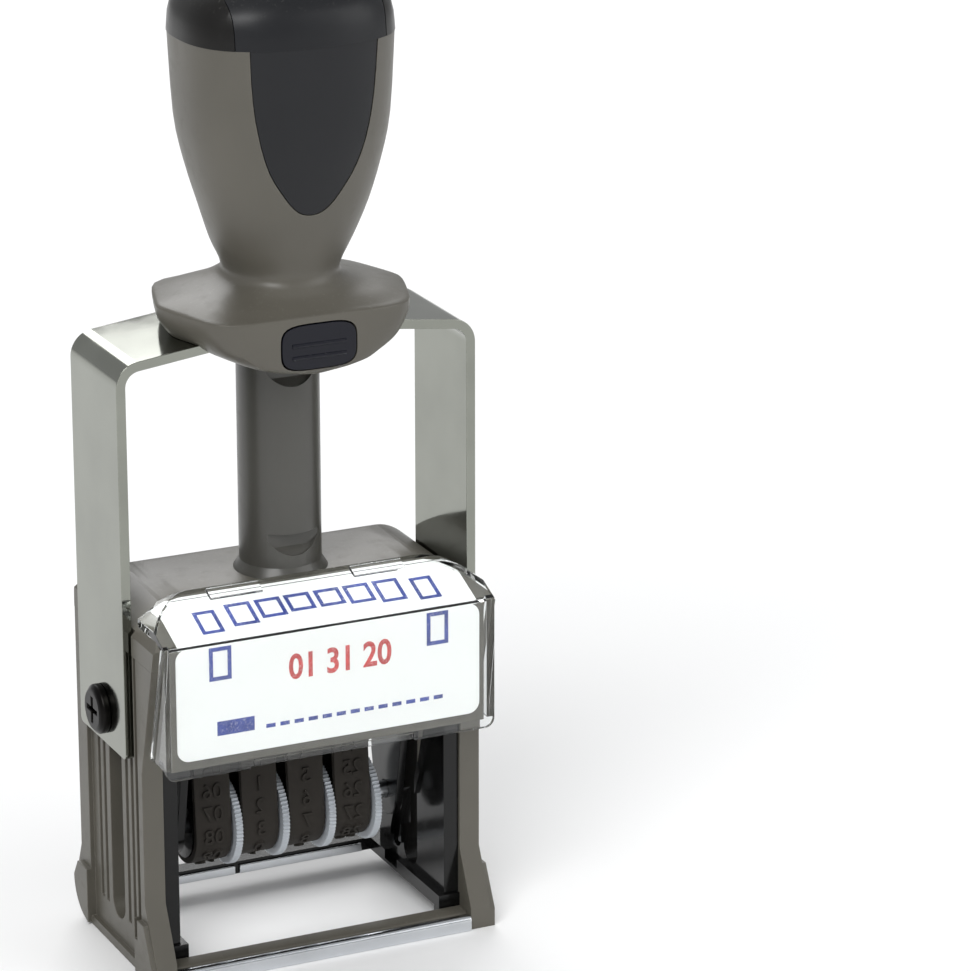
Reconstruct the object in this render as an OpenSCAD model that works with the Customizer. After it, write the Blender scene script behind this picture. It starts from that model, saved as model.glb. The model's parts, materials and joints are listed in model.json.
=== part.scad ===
// Heavy-duty self-inking line dater: a steel bail carries a flip-over platen
// with four setting wheels, under a grip that slides on a round column.

/* [Die] */
// Width of the rubber die
die_w = 41; // [34:1:52]
// Depth of the rubber die, front to back
die_d = 23.6; // [18:0.2:24]
// Distance from the flip axle to the die face
die_reach = 8; // [7.6:0.1:8.6]
// Thickness of the rubber
rubber_t = 2; // [1.6:0.1:2.4]
// Thickness of the die plate and of the platen plates
plate_t = 1.4; // [1:0.1:1.5]
// Thickness of the ink pad
pad_t = 4; // [3:0.5:8]

/* [Press] */
// Travel of the grip from rest to the desk
stroke = 34.5; // [33:0.5:42]
// Travel at which the pad-change notch locks
pad_lock_travel = 6; // [5:0.5:10]
// Travel of the lock button
button_travel = 1.8; // [1.4:0.1:2]
// Distance of the follower pins from the flip axle
pin_reach = 5.5; // [4.5:0.5:6]

/* [Setting wheels] */
// Distance from the flip axle down to the wheel axle
wheel_drop = 22.8; // [21:0.2:23]
// Radius of the wheel rims
wheel_r = 7.7; // [7:0.1:8]
// Radius of the drums that carry the bands
drum_r = 5.4; // [4.5:0.1:5.8]
// Spacing of the wheels
wheel_pitch = 8.3; // [7:0.1:8.8]
// Thickness of a rim
rim_t = 1.3; // [1:0.1:2.4]
// Number of teeth round a rim
rim_teeth = 72; // [40:4:90]
// Thickness of a date band
band_t = 1; // [0.8:0.1:1.2]

/* [Housing] */
// Centre to the front face of the legs
leg_front = 14; // [13:0.5:15]
// Centre to the rear face of the legs
leg_rear = 15; // [14:0.5:17]
// Thickness of a side frame
frame_t = 3.6; // [3:0.2:5]
// Thickness of a cam plate
cam_t = 2.6; // [2.4:0.1:4]
// Room between the die and a cam plate
side_gap = 3.1; // [2.8:0.1:4]
// Thickness of the top cover
cover_t = 2.4; // [1.8:0.2:3]
// Height of the flared feet
foot_h = 13; // [11:0.5:16]
// Centre to the front of the feet
foot_front = 18.5; // [17:0.5:19]
// Centre to the rear of the feet
foot_rear = 17.5; // [16.5:0.5:20]
// Rounding of the shoulders
shoulder_r = 15; // [12:0.5:18]
// Width over which a shoulder falls
shoulder_w = 10.8; // [9:0.2:12]
// Height of the base frame
base_h = 5; // [4:0.2:5.4]
// Gap under the base frame's side and rear bars
ring_z = 2.8; // [2:0.2:3]
// Height of the ledge behind the front trim
sill_h = 2.7; // [2.4:0.1:3]

/* [Window] */
// Centre to the front of the clear window
window_front = 22.2; // [21.6:0.2:24]
// Wall of the clear window
window_t = 1.1; // [0.8:0.1:1.2]
// Height of the window's lower edge
window_z = 37.2; // [35:0.2:39]

/* [Bail] */
// Width of the bail strip
bail_w = 20.2; // [16:0.2:20.6]
// Thickness of the bail strip
bail_t = 1.6; // [1.2:0.1:2.4]
// Height of the bail's bend above the top cover
bail_rise = 40.4; // [39:0.2:50]
// Radius of the pivot screws
pivot_r = 2.5; // [2:0.1:2.8]

/* [Column] */
// Radius of the column
column_r = 6.75; // [6.2:0.05:6.8]
// Wall of the column
column_wall = 2.4; // [2.2:0.1:2.8]

/* [Grip] */
// Half width of the grip at the top
grip_w = 17.3; // [16:0.1:24]
// Height of the grip from the flange to the cap
grip_h = 52.5; // [50:0.1:66]
// Height of the black cap
cap_h = 10.8; // [8:0.2:12]
// Half width of the flange
flange_w = 21; // [19:0.2:24]
// Height of the flange
flange_h = 9.4; // [9:0.2:12]

/* [Clearance] */
// Clearance of a sliding piece
slide_gap = 0.3; // [0.25:0.05:0.4]
// Radial clearance of a pin or axle in its bore
pin_gap = 0.05; // [0.03:0.01:0.08]
// Gap between the die and the ink pad at rest
pad_gap = 0.3; // [0.3:0.05:0.5]

/* [Hidden] */
$fn = 48;
eps = 0.01;

// The mechanism's centre lies behind the middle of the object's box.
axis_y = (window_front - foot_rear) / 2;

// Widths, from the middle outwards.
cam_in = die_w / 2 + side_gap;
cam_out = cam_in + cam_t;
frame_out = cam_out + frame_t;
channel_d = 0.8;
bail_in = frame_out - channel_d + 0.4;
bail_out = bail_in + bail_t;
base_in = cam_in - 1.2;

// Heights, from the desk upwards.
die_clear = 0.1;
axle_z = die_clear + die_reach + stroke;
pad_z = axle_z + die_reach + pad_gap;
tray_t = 1.4;
tray_top = pad_z + pad_t + tray_t;
headroom = 4.3;
cover_in = tray_top + headroom;
frame_top = cover_in + cover_t;
split_z = frame_top - 8;
bend_z = frame_top + bail_rise;
bend_r = 4.2;
arm_slope = 7;
bail_end_z = axle_z - 5.6;
flange_z = bend_z - 3.1;
crease_z = flange_z + flange_h;
grip_top = flange_z + grip_h;
top_z = grip_top + cap_h;
roof_z = grip_top - 3.8;
column_top = roof_z - stroke - 1.5;
button_z = flange_z + flange_h / 2 - 0.2;

// Column, spring and notches.
column_y = -1.4;
column_in = column_r - column_wall;
bore_r = column_r + slide_gap;
notch_w = 8.8;
notch_d = button_travel - 0.1;
notch_h = 3.7;
latch_w = notch_w - 3.2;
latch_h = notch_h - 1.9;
latch_z = inner_peak() - latch_w / 2 * tan(arm_slope) - latch_h / 2 - 0.5;
column_floor = frame_top + 1;
latch_low = 0.4;
latch_back = 0.35;

// Upper front of the housing, which leans out to carry the card.
lean_z = window_z - 1.2;
brow_y = window_front - 1.9;
brow_z = frame_top - 4.2;
brow_rear = 9.6;

// The pivot slots.
slot_r = pivot_r + 0.25;
groove_w = bail_w / 2 + 0.6;

// The flip: half a turn over the stroke.
flip = 180;
pin_r = 1.4;
groove_r = pin_r + 0.2;
groove_d = 1.3;
lip_w = 1.2;
axle_r = 1.5;
plate_out = die_w / 2 - 0.2;
plate_in = plate_out - plate_t;
wheel_z = axle_z - wheel_drop;
wheel_x0 = -plate_in + 0.9;
nose_r = 1.2;
nose_y = 1.8;
nose_z = axle_z + die_reach - band_t - nose_r;
date_y = nose_y + nose_r + band_t + 0.3;
date_x = plate_in + 0.05;

// The grip's own numbers.
flange_d = 15.5;
flange_taper = 0.257;
flange_y = -3;
flange_front = flange_d - flange_y;
grip_y = -4.6;
grip_d = grip_w - 2.1;
neck_w = max(column_r + 2.4, grip_w / 2);
button_w = 12.6;
button_h = 7.2;
button_d = 4.6;

taupe = "#5f5d56";
black = "#1b1b1c";
steel = "#b9bcbf";
dark = "#241d1c";

// ---------- shared shapes ----------

// Moves everything from the mechanism's centre to the object's frame.
module at_axis() { translate([0, axis_y, 0]) children(); }

// Extrudes a (y, z) outline along X from x0 to x1.
module along_x(x0, x1) {
    translate([x0, 0, 0]) rotate([90, 0, 90]) linear_extrude(x1 - x0) children();
}

// Extrudes an (x, z) outline along Y from y0 to y1.
module along_y(y0, y1) {
    translate([0, y1, 0]) rotate([90, 0, 0]) linear_extrude(y1 - y0) children();
}

// A round bar along X.
module bar_x(x0, x1, r, y, z) {
    translate([x0, y, z]) rotate([0, 90, 0]) cylinder(r = r, h = x1 - x0);
}

// A box from one corner to the other.
module block(a, b) { translate(a) cube(b - a); }

// Both sides of the object.
module both_sides() {
    children();
    mirror([1, 0, 0]) children();
}

// An upright slot outline between two centres.
module slot_outline(r, y, z0, z1) {
    translate([y, z0]) circle(r);
    translate([y, z1]) circle(r);
    translate([y - r, z0]) square([2 * r, z1 - z0]);
}

// A rectangle with round corners, from one corner to the other.
module round_rect(a, b, r) {
    translate([a.x + r, a.y]) square([b.x - a.x - 2 * r, b.y - a.y]);
    translate([a.x, a.y + r]) square([b.x - a.x, b.y - a.y - 2 * r]);
    for (x = [a.x + r, b.x - r], y = [a.y + r, b.y - r]) translate([x, y]) circle(r);
}

function arc(c, r, a0, a1, n = 12) =
    [for (i = [0:n]) c + r * [cos(a0 + (a1 - a0) * i / n), sin(a0 + (a1 - a0) * i / n)]];

// Catmull-Rom value between rows of a table of stations.
function blend_row(p, i, t) =
    let (a = p[max(i - 1, 0)], b = p[i], c = p[i + 1], d = p[min(i + 2, len(p) - 1)])
    b + t / 2 * (c - a + t * (2 * a - 5 * b + 4 * c - d + t * (3 * b - a - 3 * c + d)));

function stations(p, steps) =
    concat([for (i = [0:len(p) - 2], s = [0:steps - 1]) blend_row(p, i, s / steps)],
           [p[len(p) - 1]]);

// One rounded ring: row is [z, half width, half depth, centre y, squareness, taper].
function ring(row, n) =
    [for (i = [0:n - 1])
        let (a = 360 * i / n, c = cos(a), s = sin(a), q = row[4],
             side = abs(c) + max(row[5], 0) * s * s / (abs(s) + 0.12),
             t = pow(pow(side, q) + pow(abs(s), q), -1 / q))
        [row[1] * c * t, row[3] + row[2] * s * t, row[0]]];

// A closed solid through the rings of a table of stations.
module loft(table, steps = 3, n = 60) {
    rows = stations(table, steps);
    k = len(rows);
    points = [for (r = rows) each ring(r, n)];
    sides = [for (j = [0:k - 2], i = [0:n - 1])
        let (a = j * n + i, b = j * n + (i + 1) % n)
        each [[a, b + n, b], [a, a + n, b + n]]];
    bottom = [for (i = [0:n - 1]) i];
    top = [for (i = [n - 1:-1:0]) (k - 1) * n + i];
    polyhedron(points, concat(sides, [bottom, top]));
}

// ---------- housing ----------

rear_r = 6;
module side_outline() {
    polygon(concat(
        [[-leg_front, foot_h], [-leg_front, lean_z], [-brow_y, brow_z], [-brow_rear, frame_top]],
        arc([leg_rear - rear_r, frame_top - rear_r], rear_r, 90, 0),
        [[leg_rear, foot_h]]));
}

foot_r = 7;
module foot_outline() {
    polygon(concat(
        [[-leg_front, foot_h], [-foot_front, 3.7], [-foot_front, 0]],
        arc([foot_rear - foot_r, foot_r], foot_r, -90, 0),
        [[leg_rear, foot_h]]));
}

// Front view of the housing's outer shape, grown outwards by grow.
module arch_outline(grow = 0) {
    fall = asin((shoulder_w + grow) / (shoulder_r + grow));
    right = arc([frame_out - shoulder_w, frame_top - shoulder_r], shoulder_r + grow, 90 - fall, 90);
    polygon(concat([[-frame_out - grow, 0], [frame_out + grow, 0]], right,
                   [for (i = [len(right) - 1:-1:0]) [-right[i].x, right[i].y]]));
}

module envelope() {
    intersection() {
        along_x(-frame_out, frame_out) side_outline();
        along_y(-2 * brow_y, 2 * leg_rear) arch_outline();
    }
}

// Right-hand side frame: a leg with its outer channel, pivot slot and flared foot.
module side_frame() {
    difference() {
        union() {
            intersection() {
                envelope();
                block([cam_out, -2 * brow_y, foot_h - eps], [frame_out, 2 * leg_rear, split_z]);
            }
            along_x(cam_out, frame_out) foot_outline();
            // outward bulge of the foot
            along_x(frame_out - eps, frame_out + 0.8)
                polygon([[-foot_front, 0], [-foot_front, 3.2], [-leg_front - 1, foot_h - 3],
                         [-groove_w, foot_h - 3], [-groove_w, 0]]);
            along_x(frame_out - eps, frame_out + 0.8)
                polygon(concat([[groove_w, 0.4], [groove_w, foot_h - 3], [leg_rear, foot_h - 3]],
                               arc([foot_rear - foot_r, foot_r], foot_r - 0.6, 0, -80)));
        }
        // channel that the bail slides in
        block([frame_out - channel_d, -groove_w, 1.6], [frame_out + 1, groove_w, frame_top]);
        // pivot slot
        along_x(cam_out - 1, frame_out + 1) slot_outline(slot_r, 0, axle_z - stroke, axle_z);
        // narrow groove along the front of the channel
        block([frame_out - 1.9, -groove_w - 1.4, 6.4], [frame_out + 1, -groove_w - 0.3, frame_top]);
        // shallow grooves that leave ribs on the channel floor
        for (y = [-7.4, -5, 5, 7.4])
            block([frame_out - channel_d - 0.5, y - 0.6, 6.4],
                  [frame_out + 1, y + 0.6, frame_top]);
    }
}

module side_frame_right() { at_axis() color(taupe) side_frame(); }
module side_frame_left() { at_axis() color(taupe) mirror([1, 0, 0]) side_frame(); }

// Shell that closes the housing over the ink pad.
module top_cover() {
    at_axis() color(taupe) difference() {
        intersection() {
            envelope();
            block([-frame_out, -2 * brow_y, split_z], [frame_out, 2 * leg_rear, frame_top]);
        }
        // inside of the shell, open at the rear for the pad tray
        block([-cam_out, -leg_front, split_z - 1], [cam_out, leg_rear - cover_t, cover_in]);
        block([-cam_out, 0, split_z - 1], [cam_out, 2 * leg_rear, tray_top + 1]);
        // front bay behind the card carrier
        block([-cam_out, -2 * brow_y, split_z - 1], [cam_out, -leg_front + 1, brow_z - 1.2]);
        // seat of the card carrier's plate
        block([-cam_out - 1.25, -2 * brow_y, split_z - 1],
              [cam_out + 1.25, -carrier_y + 1.25, brow_z - 0.15]);
        // channels for the bail
        both_sides()
            block([frame_out - channel_d, -groove_w, split_z - 1],
                  [frame_out + 1, groove_w, frame_top + 1]);
        // column seat
        translate([0, column_y, frame_top - 5]) cylinder(r = column_r + pin_gap, h = 10);
        // screws of the column
        column_screw_places() cylinder(r = 0.9, h = cover_in + 1.3);
    }
}

// Panel between the legs under the pad tray.
panel_z0 = wheel_z + wheel_drop + 1.2;
panel_z1 = pad_z - 0.9;
module rear_panel() {
    at_axis() color(taupe)
        along_y(leg_rear - 2.2, leg_rear) round_rect([-cam_out, panel_z0], [cam_out, panel_z1], 1);
}

// Front plate that holds the card, with two webs that reach back to the legs.
card_z0 = window_z + 2.6;
card_z1 = brow_z;
carrier_y = window_front - window_t - 0.5;
module card_carrier() {
    at_axis() color("#8a8a88") {
        along_y(-carrier_y, -carrier_y + 1.2)
            square_span(-cam_out - 1.2, window_z + 1, cam_out + 1.2, brow_z - 0.2);
        both_sides() difference() {
            block([cam_out - 3, -carrier_y + 1, window_z + 1], [cam_out, -leg_front - 0.4, brow_z - 2]);
            block([cam_out - 5, -carrier_y + 2.4, 0], [cam_out - 1.4, 0, brow_z]);
        }
    }
}

module square_span(x0, z0, x1, z1) { translate([x0, z0]) square([x1 - x0, z1 - z0]); }

// Path of the follower pin as the platen flips, as [y, z].
function pin_path(a) = [-pin_reach * cos(a), axle_z - stroke * a / flip - pin_reach * sin(a)];

// One edge of the band round that path, at a distance of r.
function pin_side(s, r = groove_r) =
    [for (a = [0:5:flip])
        let (d = pin_path(a + 0.5) - pin_path(a - 0.5), u = d / norm(d))
        pin_path(a) + s * r * [-u.y, u.x]];

module pin_groove() {
    right = pin_side(-1);
    polygon(concat(pin_side(1), [for (i = [len(right) - 1:-1:0]) right[i]]));
    translate(pin_path(0)) circle(groove_r);
    translate(pin_path(flip)) circle(groove_r);
}

// Right-hand inner plate with the curved track that turns the platen over.
module cam_plate() {
    difference() {
        union() {
            block([cam_in, -leg_front + 0.6, base_h], [cam_out, leg_rear - 2.4, cover_in]);
            // raised lips beside the track
            along_x(cam_in - 0.5, cam_in + eps) difference() {
                lip_outline();
                pin_groove();
            }
            // rail under the pad tray
            block([cam_in - 1.6, -leg_front + 0.6, pad_z], [cam_in, leg_rear - 2.4, pad_z + 1]);
        }
        along_x(cam_in - 0.6, cam_in + groove_d) pin_groove();
        along_x(cam_in - 2, cam_out + 1) slot_outline(slot_r, 0, axle_z - stroke, axle_z);
        // seats of the base screws
        for (y = screw_y) translate([screw_x, y, 0]) cylinder(r = 0.9, h = base_h + 7);
    }
}

module lip_outline() {
    right = pin_side(-1, groove_r + lip_w);
    polygon(concat(pin_side(1, groove_r + lip_w), [for (i = [len(right) - 1:-1:0]) right[i]]));
}

module cam_plate_right() { at_axis() color(black) cam_plate(); }
module cam_plate_left() { at_axis() color(black) mirror([1, 0, 0]) cam_plate(); }

// Open rectangular frame that stands on the desk.
open_y = die_d / 2 + 2.2;
module base_frame() {
    at_axis() color(black) difference() {
        union() {
            block([-cam_out, -foot_front + 0.9, 0.2], [cam_out, -open_y, sill_h - 1.1]);
            both_sides() {
                block([base_in, -open_y, ring_z], [cam_out, open_y, base_h]);
                block([base_in, -open_y, 0.2], [cam_out, -open_y + 2, base_h]);
            }
            block([-cam_out, open_y, ring_z], [cam_out, foot_rear - 0.4, base_h]);
        }
        for (s = [-1, 1], y = screw_y) translate([s * screw_x, y, ring_z - 1]) {
            cylinder(r = 1, h = base_h);
            cylinder(r = 1.25, h = screw_head + 1.15);
        }
        // thumb notch in the right bar
        block([base_in - 1, 3, base_h - 1.6], [base_in + 1.4, 8, base_h + 1]);
    }
}

// Ledge behind the front trim.
module front_sill() {
    at_axis() color("#4b4944")
        along_x(-cam_out, cam_out)
            polygon([[-foot_front + 1.6, sill_h - 1.1], [-foot_front + 1.6, sill_h - 0.3],
                     [-foot_front + 2.2, sill_h], [-open_y - 0.4, sill_h + 0.2],
                     [-open_y, sill_h], [-open_y, sill_h - 1.1]]);
}

// Bright strip along the front bar.
module front_trim() {
    at_axis() color(steel)
        along_x(-cam_out, cam_out)
            polygon(concat([[-foot_front + 0.9, 0], [-foot_front + 0.9, 2.6]],
                           arc([-foot_front + 0.3, 1.8], 0.8, 90, 180, 6),
                           [[-foot_front - 0.5, 0]]));
}

// Two bright strips on the inner face of the rear bar.
module rear_trims() {
    at_axis() color(steel)
        for (span = [[-cam_in + 4, -2.8], [-2, cam_in - 3]])
            block([span[0], open_y - 0.5, ring_z + 0.1], [span[1], open_y, ring_z + 1.6]);
}

screw_x = cam_in + cam_t / 2;
screw_y = [-10, 10];
screw_head = 1;
module base_screws() {
    at_axis() color(steel)
        for (s = [-1, 1], y = screw_y) translate([s * screw_x, y, ring_z + 0.1]) {
            difference() {
                cylinder(r = 1.2, h = screw_head);
                translate([-0.8, -0.2, -1]) cube([1.6, 0.4, 1.6]);
                translate([-0.2, -0.8, -1]) cube([0.4, 1.6, 1.6]);
            }
            cylinder(r = 0.85, h = base_h + 6.2 - ring_z);
        }
}

// ---------- column ----------

// One latch notch: a shallow pocket with a flat top and a scooped lower edge.
module notch(z) {
    front = column_y - column_r;
    intersection() {
        along_y(front - 1, front + notch_d) translate([0, z]) intersection() {
            square([notch_w, notch_h], center = true);
            translate([0, notch_w / 2 + 0.5 - notch_h / 2]) circle(notch_w / 2 + 0.5);
        }
        along_x(-notch_w, notch_w)
            polygon([[front - 1, z + notch_h], [front + notch_d, z + notch_h],
                     [front + notch_d, z - notch_h / 2 + 1.25], [front + 0.3, z - notch_h / 2],
                     [front - 1, z - notch_h / 2]]);
    }
}

module column() {
    at_axis() color("#464642") difference() {
        union() {
            translate([0, column_y, cover_in - 1.6])
                cylinder(r = column_r, h = column_top - cover_in + 1.6);
            translate([0, column_y, cover_in - 1.6]) cylinder(r = column_r + 3.4, h = 1.6);
            translate([0, column_y, frame_top]) cylinder(r1 = column_r + 1, r2 = column_r, h = 1.6);
        }
        translate([0, column_y, column_floor]) cylinder(r = column_in, h = column_top);
        for (d = [0, pad_lock_travel, stroke]) notch(latch_z - latch_low - d);
        column_screw_places() cylinder(r = 0.9, h = cover_in + 1);
    }
}

module column_screw_places() {
    for (a = [90, 210, 330])
        translate([0, column_y, 0]) rotate(a) translate([column_r + 1.9, 0, 0]) children();
}

module column_screws() {
    at_axis() color(steel) column_screw_places() {
        translate([0, 0, cover_in - 2.6]) cylinder(r = 1.4, h = 1);
        translate([0, 0, cover_in - 1.7]) cylinder(r = 0.85, h = 2.9);
    }
}

// ---------- card and window ----------

module index_card() {
    at_axis() color("white")
        along_y(-carrier_y - 0.3, -carrier_y)
            round_rect([-cam_out - 0.2, card_z0], [cam_out + 0.2, card_z1], 2);
}

window_w = frame_out - 1.1;
window_top = brow_z + 0.8;
window_rear = brow_rear + 0.4;
top_slope = atan((frame_top - brow_z) / (brow_y - brow_rear));
window_gap = 0.3;
// Front of a leg where it leans out, at a given height.
function lean_y(z) = -leg_front - (z - lean_z) * (brow_y - leg_front) / (brow_z - lean_z);
// Height of the window's top wall at a given y, that far under its outer face.
function roof_line(y, under = 0) =
    window_top + (y + window_front) * tan(top_slope) - under / cos(top_slope);

// Solid under the window's top wall, of a given half width and that far under its outer face.
module window_roof(half, under) {
    intersection() {
        along_x(-half, half)
            polygon([[-window_front + under, brow_z - 3],
                     [-window_front + under, roof_line(-window_front + under, under)],
                     [-window_rear, roof_line(-window_rear, under)], [-window_rear, brow_z - 3]]);
        along_y(-2 * window_front, 0) arch_outline(window_gap + window_t - under);
    }
}

module window() {
    in_y = window_front - window_t;
    at_axis() color([0.9, 0.95, 1, 0.35]) {
        difference() {
            along_y(-window_front, -in_y)
                round_rect([-window_w, window_z], [window_w, window_top], 1.6);
            // slot of the lower tab
            block([-window_w / 2, -window_front - 1, window_z - 1],
                  [window_w / 2, -in_y - 0.4, window_z + 1.2]);
            // room for the rounded upper edge
            difference() {
                block([-window_w - 1, -window_front - 1, brow_z - 1.2],
                      [window_w + 1, -in_y + 1, window_top + 1]);
                along_y(-2 * window_front, 0) arch_outline(window_gap + window_t);
            }
        }
        // side walls, which fit against the leaning front of the legs
        both_sides() along_x(window_w - window_t, window_w)
            polygon([[-in_y - 0.3, window_z + 1.6],
                     [lean_y(window_z + 1.6) - window_gap, window_z + 1.6],
                     [-brow_y - window_gap, brow_z + 0.8], [-in_y - 0.3, brow_z + 0.8]]);
        // top wall, which follows the shoulders
        difference() {
            window_roof(window_w, 0);
            window_roof(2 * window_w, window_t);
            // open below and behind
            block([-2 * window_w, -brow_y - window_gap, 0], [2 * window_w, 0, brow_z - 0.7]);
            block([-2 * window_w, -in_y + 0.5, 0], [2 * window_w, 0, brow_z - 1.8]);
            along_x(-2 * window_w, 2 * window_w)
                polygon([[-window_rear - 1, roof_line(-window_rear - 1, window_t)],
                         [-window_rear + 1, roof_line(-window_rear + 1, window_t)],
                         [-window_rear + 1, 0], [-window_rear - 1, 0]]);
        }
    }
}

// ---------- ink pad ----------

tray_w = cam_in - 0.3;
tray_front = -leg_front + 1.4;
module pad_tray() {
    pad_w = die_w / 2 + 0.6;
    pad_d = die_d / 2 + 0.5;
    at_axis() color(black) difference() {
        union() {
            block([-tray_w, tray_front, pad_z + 1.3], [tray_w, leg_rear - 0.2, tray_top]);
            // rear plate with a finger pull
            block([-cam_in + 0.3, leg_rear - 0.2, panel_z1 + 0.3],
                  [cam_in - 0.3, leg_rear + 1, tray_top + 0.8]);
            block([-7, leg_rear, pad_z + 1.6], [7, foot_rear - 0.3, pad_z + 3]);
        }
        block([-pad_w, -pad_d, pad_z], [pad_w, pad_d, pad_z + pad_t]);
    }
}

module ink_pad() {
    at_axis() color("#1e2a55")
        block([-die_w / 2 - 0.5, -die_d / 2 - 0.4, pad_z], [die_w / 2 + 0.5, die_d / 2 + 0.4, pad_z + pad_t]);
}

// ---------- bail ----------

function bend_centre() = [bail_out - bend_r, bend_z - bend_r * cos(arm_slope)];
function bail_side(r) =
    let (c = bend_centre(), p = c + r * [sin(arm_slope), cos(arm_slope)])
    concat([[c.x + r, bail_end_z]], arc(c, r, 0, 90 - arm_slope, 16),
           [[0, p.y + p.x * tan(arm_slope)]]);
function flip_x(p) = [for (i = [len(p) - 2:-1:0]) [-p[i].x, p[i].y]];

module bail() {
    outer = bail_side(bend_r);
    inner = bail_side(bend_r - bail_t);
    at_axis() color(steel) difference() {
        intersection() {
            along_y(-bail_w / 2, bail_w / 2) difference() {
                polygon(concat(outer, flip_x(outer)));
                polygon(concat([[inner[0].x, bail_end_z - 1]], inner, flip_x(inner),
                               [[-inner[0].x, bail_end_z - 1]]));
            }
            along_x(-2 * bail_out, 2 * bail_out)
                round_rect([-bail_w / 2, bail_end_z], [bail_w / 2, top_z], 1);
        }
        translate([0, column_y, bend_z - 5]) cylinder(r = bore_r, h = 20);
        bar_x(-2 * bail_out, 2 * bail_out, pivot_r + pin_gap, 0, axle_z);
        for (s = [-1, 1]) translate([s * bail_screw_x, 0, bend_z - 5]) cylinder(r = 1.1, h = 20);
    }
}

// Flip axle: one screw on each side, its head outside the bail.
module pivot_screw() {
    difference() {
        union() {
            bar_x(plate_in - 0.3, bail_out + eps, pivot_r, 0, axle_z);
            translate([bail_out, 0, axle_z]) rotate([0, 90, 0]) cylinder(r = 4.1, h = 1.1);
            translate([bail_out + 1.1, 0, axle_z]) rotate([0, 90, 0]) cylinder(r1 = 4.1, r2 = 3.2, h = 0.7);
        }
        block([bail_out + 0.8, -2.2, axle_z - 0.35], [bail_out + 3, 2.2, axle_z + 0.35]);
        block([bail_out + 0.8, -0.35, axle_z - 2.2], [bail_out + 3, 0.35, axle_z + 2.2]);
    }
}

module pivot_screws() { at_axis() color(black) both_sides() pivot_screw(); }

bail_screw_x = bore_r + 4.4;
function arm_under(x) = inner_peak() - x * tan(arm_slope);
function inner_peak() = let (p = bail_side(bend_r - bail_t)) p[len(p) - 1].y;
module bail_screws() {
    at_axis() color(steel) for (s = [-1, 1]) translate([s * bail_screw_x, 0, 0]) {
        translate([0, 0, arm_under(bail_screw_x) - 1.9]) cylinder(r = 2, h = 1.4);
        translate([0, 0, arm_under(bail_screw_x) - 0.6]) cylinder(r = 1, h = 5.6);
    }
}

// ---------- grip ----------

// One ring of the flange, with its width as a share of the flange's.
function flange_row(z, share, grow, inset = 0, square = 9) =
    [z, share * flange_w + grow - inset, flange_d + grow - inset, flange_y, square, flange_taper];

// Rings of the flange and the neck.
function foot_rows(grow) = [
    flange_row(flange_z - 0.3, 0.24, grow, 1, 5),
    flange_row(flange_z + 0.3, 0.44, grow, 0.4, 7),
    flange_row(flange_z + 1.1, 0.58, grow),
    flange_row(flange_z + 2.1, 0.71, grow),
    flange_row(flange_z + 3.4, 0.83, grow),
    flange_row(flange_z + 4.8, 0.91, grow),
    flange_row(flange_z + 6.9, 0.98, grow),
    flange_row(crease_z - 0.5, 1, grow),
    flange_row(crease_z, 1, grow, 0.2),
    flange_row(crease_z + 0.4, 1, grow, 1, 7),
    [crease_z + 1.2, flange_w - 4 + grow, flange_d - 2.4 + grow, flange_y, 5, 0.2],
    [crease_z + 2, neck_w + 3.9 + grow, flange_d - 3.6 + grow, flange_y, 3.4, 0.1],
    [crease_z + 2.9, neck_w + 1.4 + grow, 11.1 + grow, flange_y, 2.7, 0.04],
    [crease_z + 4, neck_w + grow, 10.4 + grow, flange_y, 2.3, 0],
    [crease_z + 5.8, neck_w + 0.3 + grow, 10.3 + grow, flange_y, 2.2, 0]];

// Rings of the handle above the neck.
function head_rows(grow) = [
    [crease_z + 9.5, neck_w + 2.2 + grow, 10.6 + grow, -3.6, 2.2, 0],
    [crease_z + 15.5, grip_w - 3.8 + grow, grip_d - 3.7 + grow, grip_y, 2.3, 0],
    [crease_z + 22.5, grip_w - 1.85 + grow, grip_d - 2 + grow, grip_y, 2.4, 0],
    [crease_z + 30, grip_w - 0.55 + grow, grip_d - 0.8 + grow, grip_y, 2.5, 0],
    [grip_top, grip_w + grow, grip_d + grow, grip_y, 2.6, 0]];

module grip_skin() {
    loft(concat(foot_rows(0), head_rows(0)));
}

module bail_slot() {
    peak = inner_peak() + bail_t + 0.1;
    reach = 2 * flange_w;
    along_y(-bail_w / 2 - 0.15, bail_w / 2 + 0.15)
        polygon([[-reach, flange_z - 1], [-reach, peak - reach * tan(arm_slope)], [0, peak],
                 [reach, peak - reach * tan(arm_slope)], [reach, flange_z - 1]]);
}

module grip() {
    at_axis() color(taupe) difference() {
        grip_skin();
        bail_slot();
        translate([0, column_y, flange_z - 1]) cylinder(r = bore_r, h = roof_z - flange_z + 1);
        // pocket of the lock button, with a deeper seat for its spring
        along_y(-flange_front - 1, -flange_front + button_d + button_travel + 0.2)
            polygon(button_ring(0.25));
        along_y(-flange_front + 5, -flange_front + 8)
            square_span(-5.6, latch_z + latch_h / 2 + 0.6, 5.6, button_z + button_h / 2 - 0.6);
        // way of the latch through to the bore
        block([-latch_w / 2 - 0.3, -flange_front + 5, latch_z - latch_h / 2 - 0.3],
              [latch_w / 2 + 0.3, column_y, latch_z + latch_h / 2 + 0.3]);
        // seat of the shield insert
        shield_space(0.7);
        for (s = [-1, 1]) translate([s * bail_screw_x, 0, flange_z]) cylinder(r = 1.05, h = flange_h - 0.4);
    }
}

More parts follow.
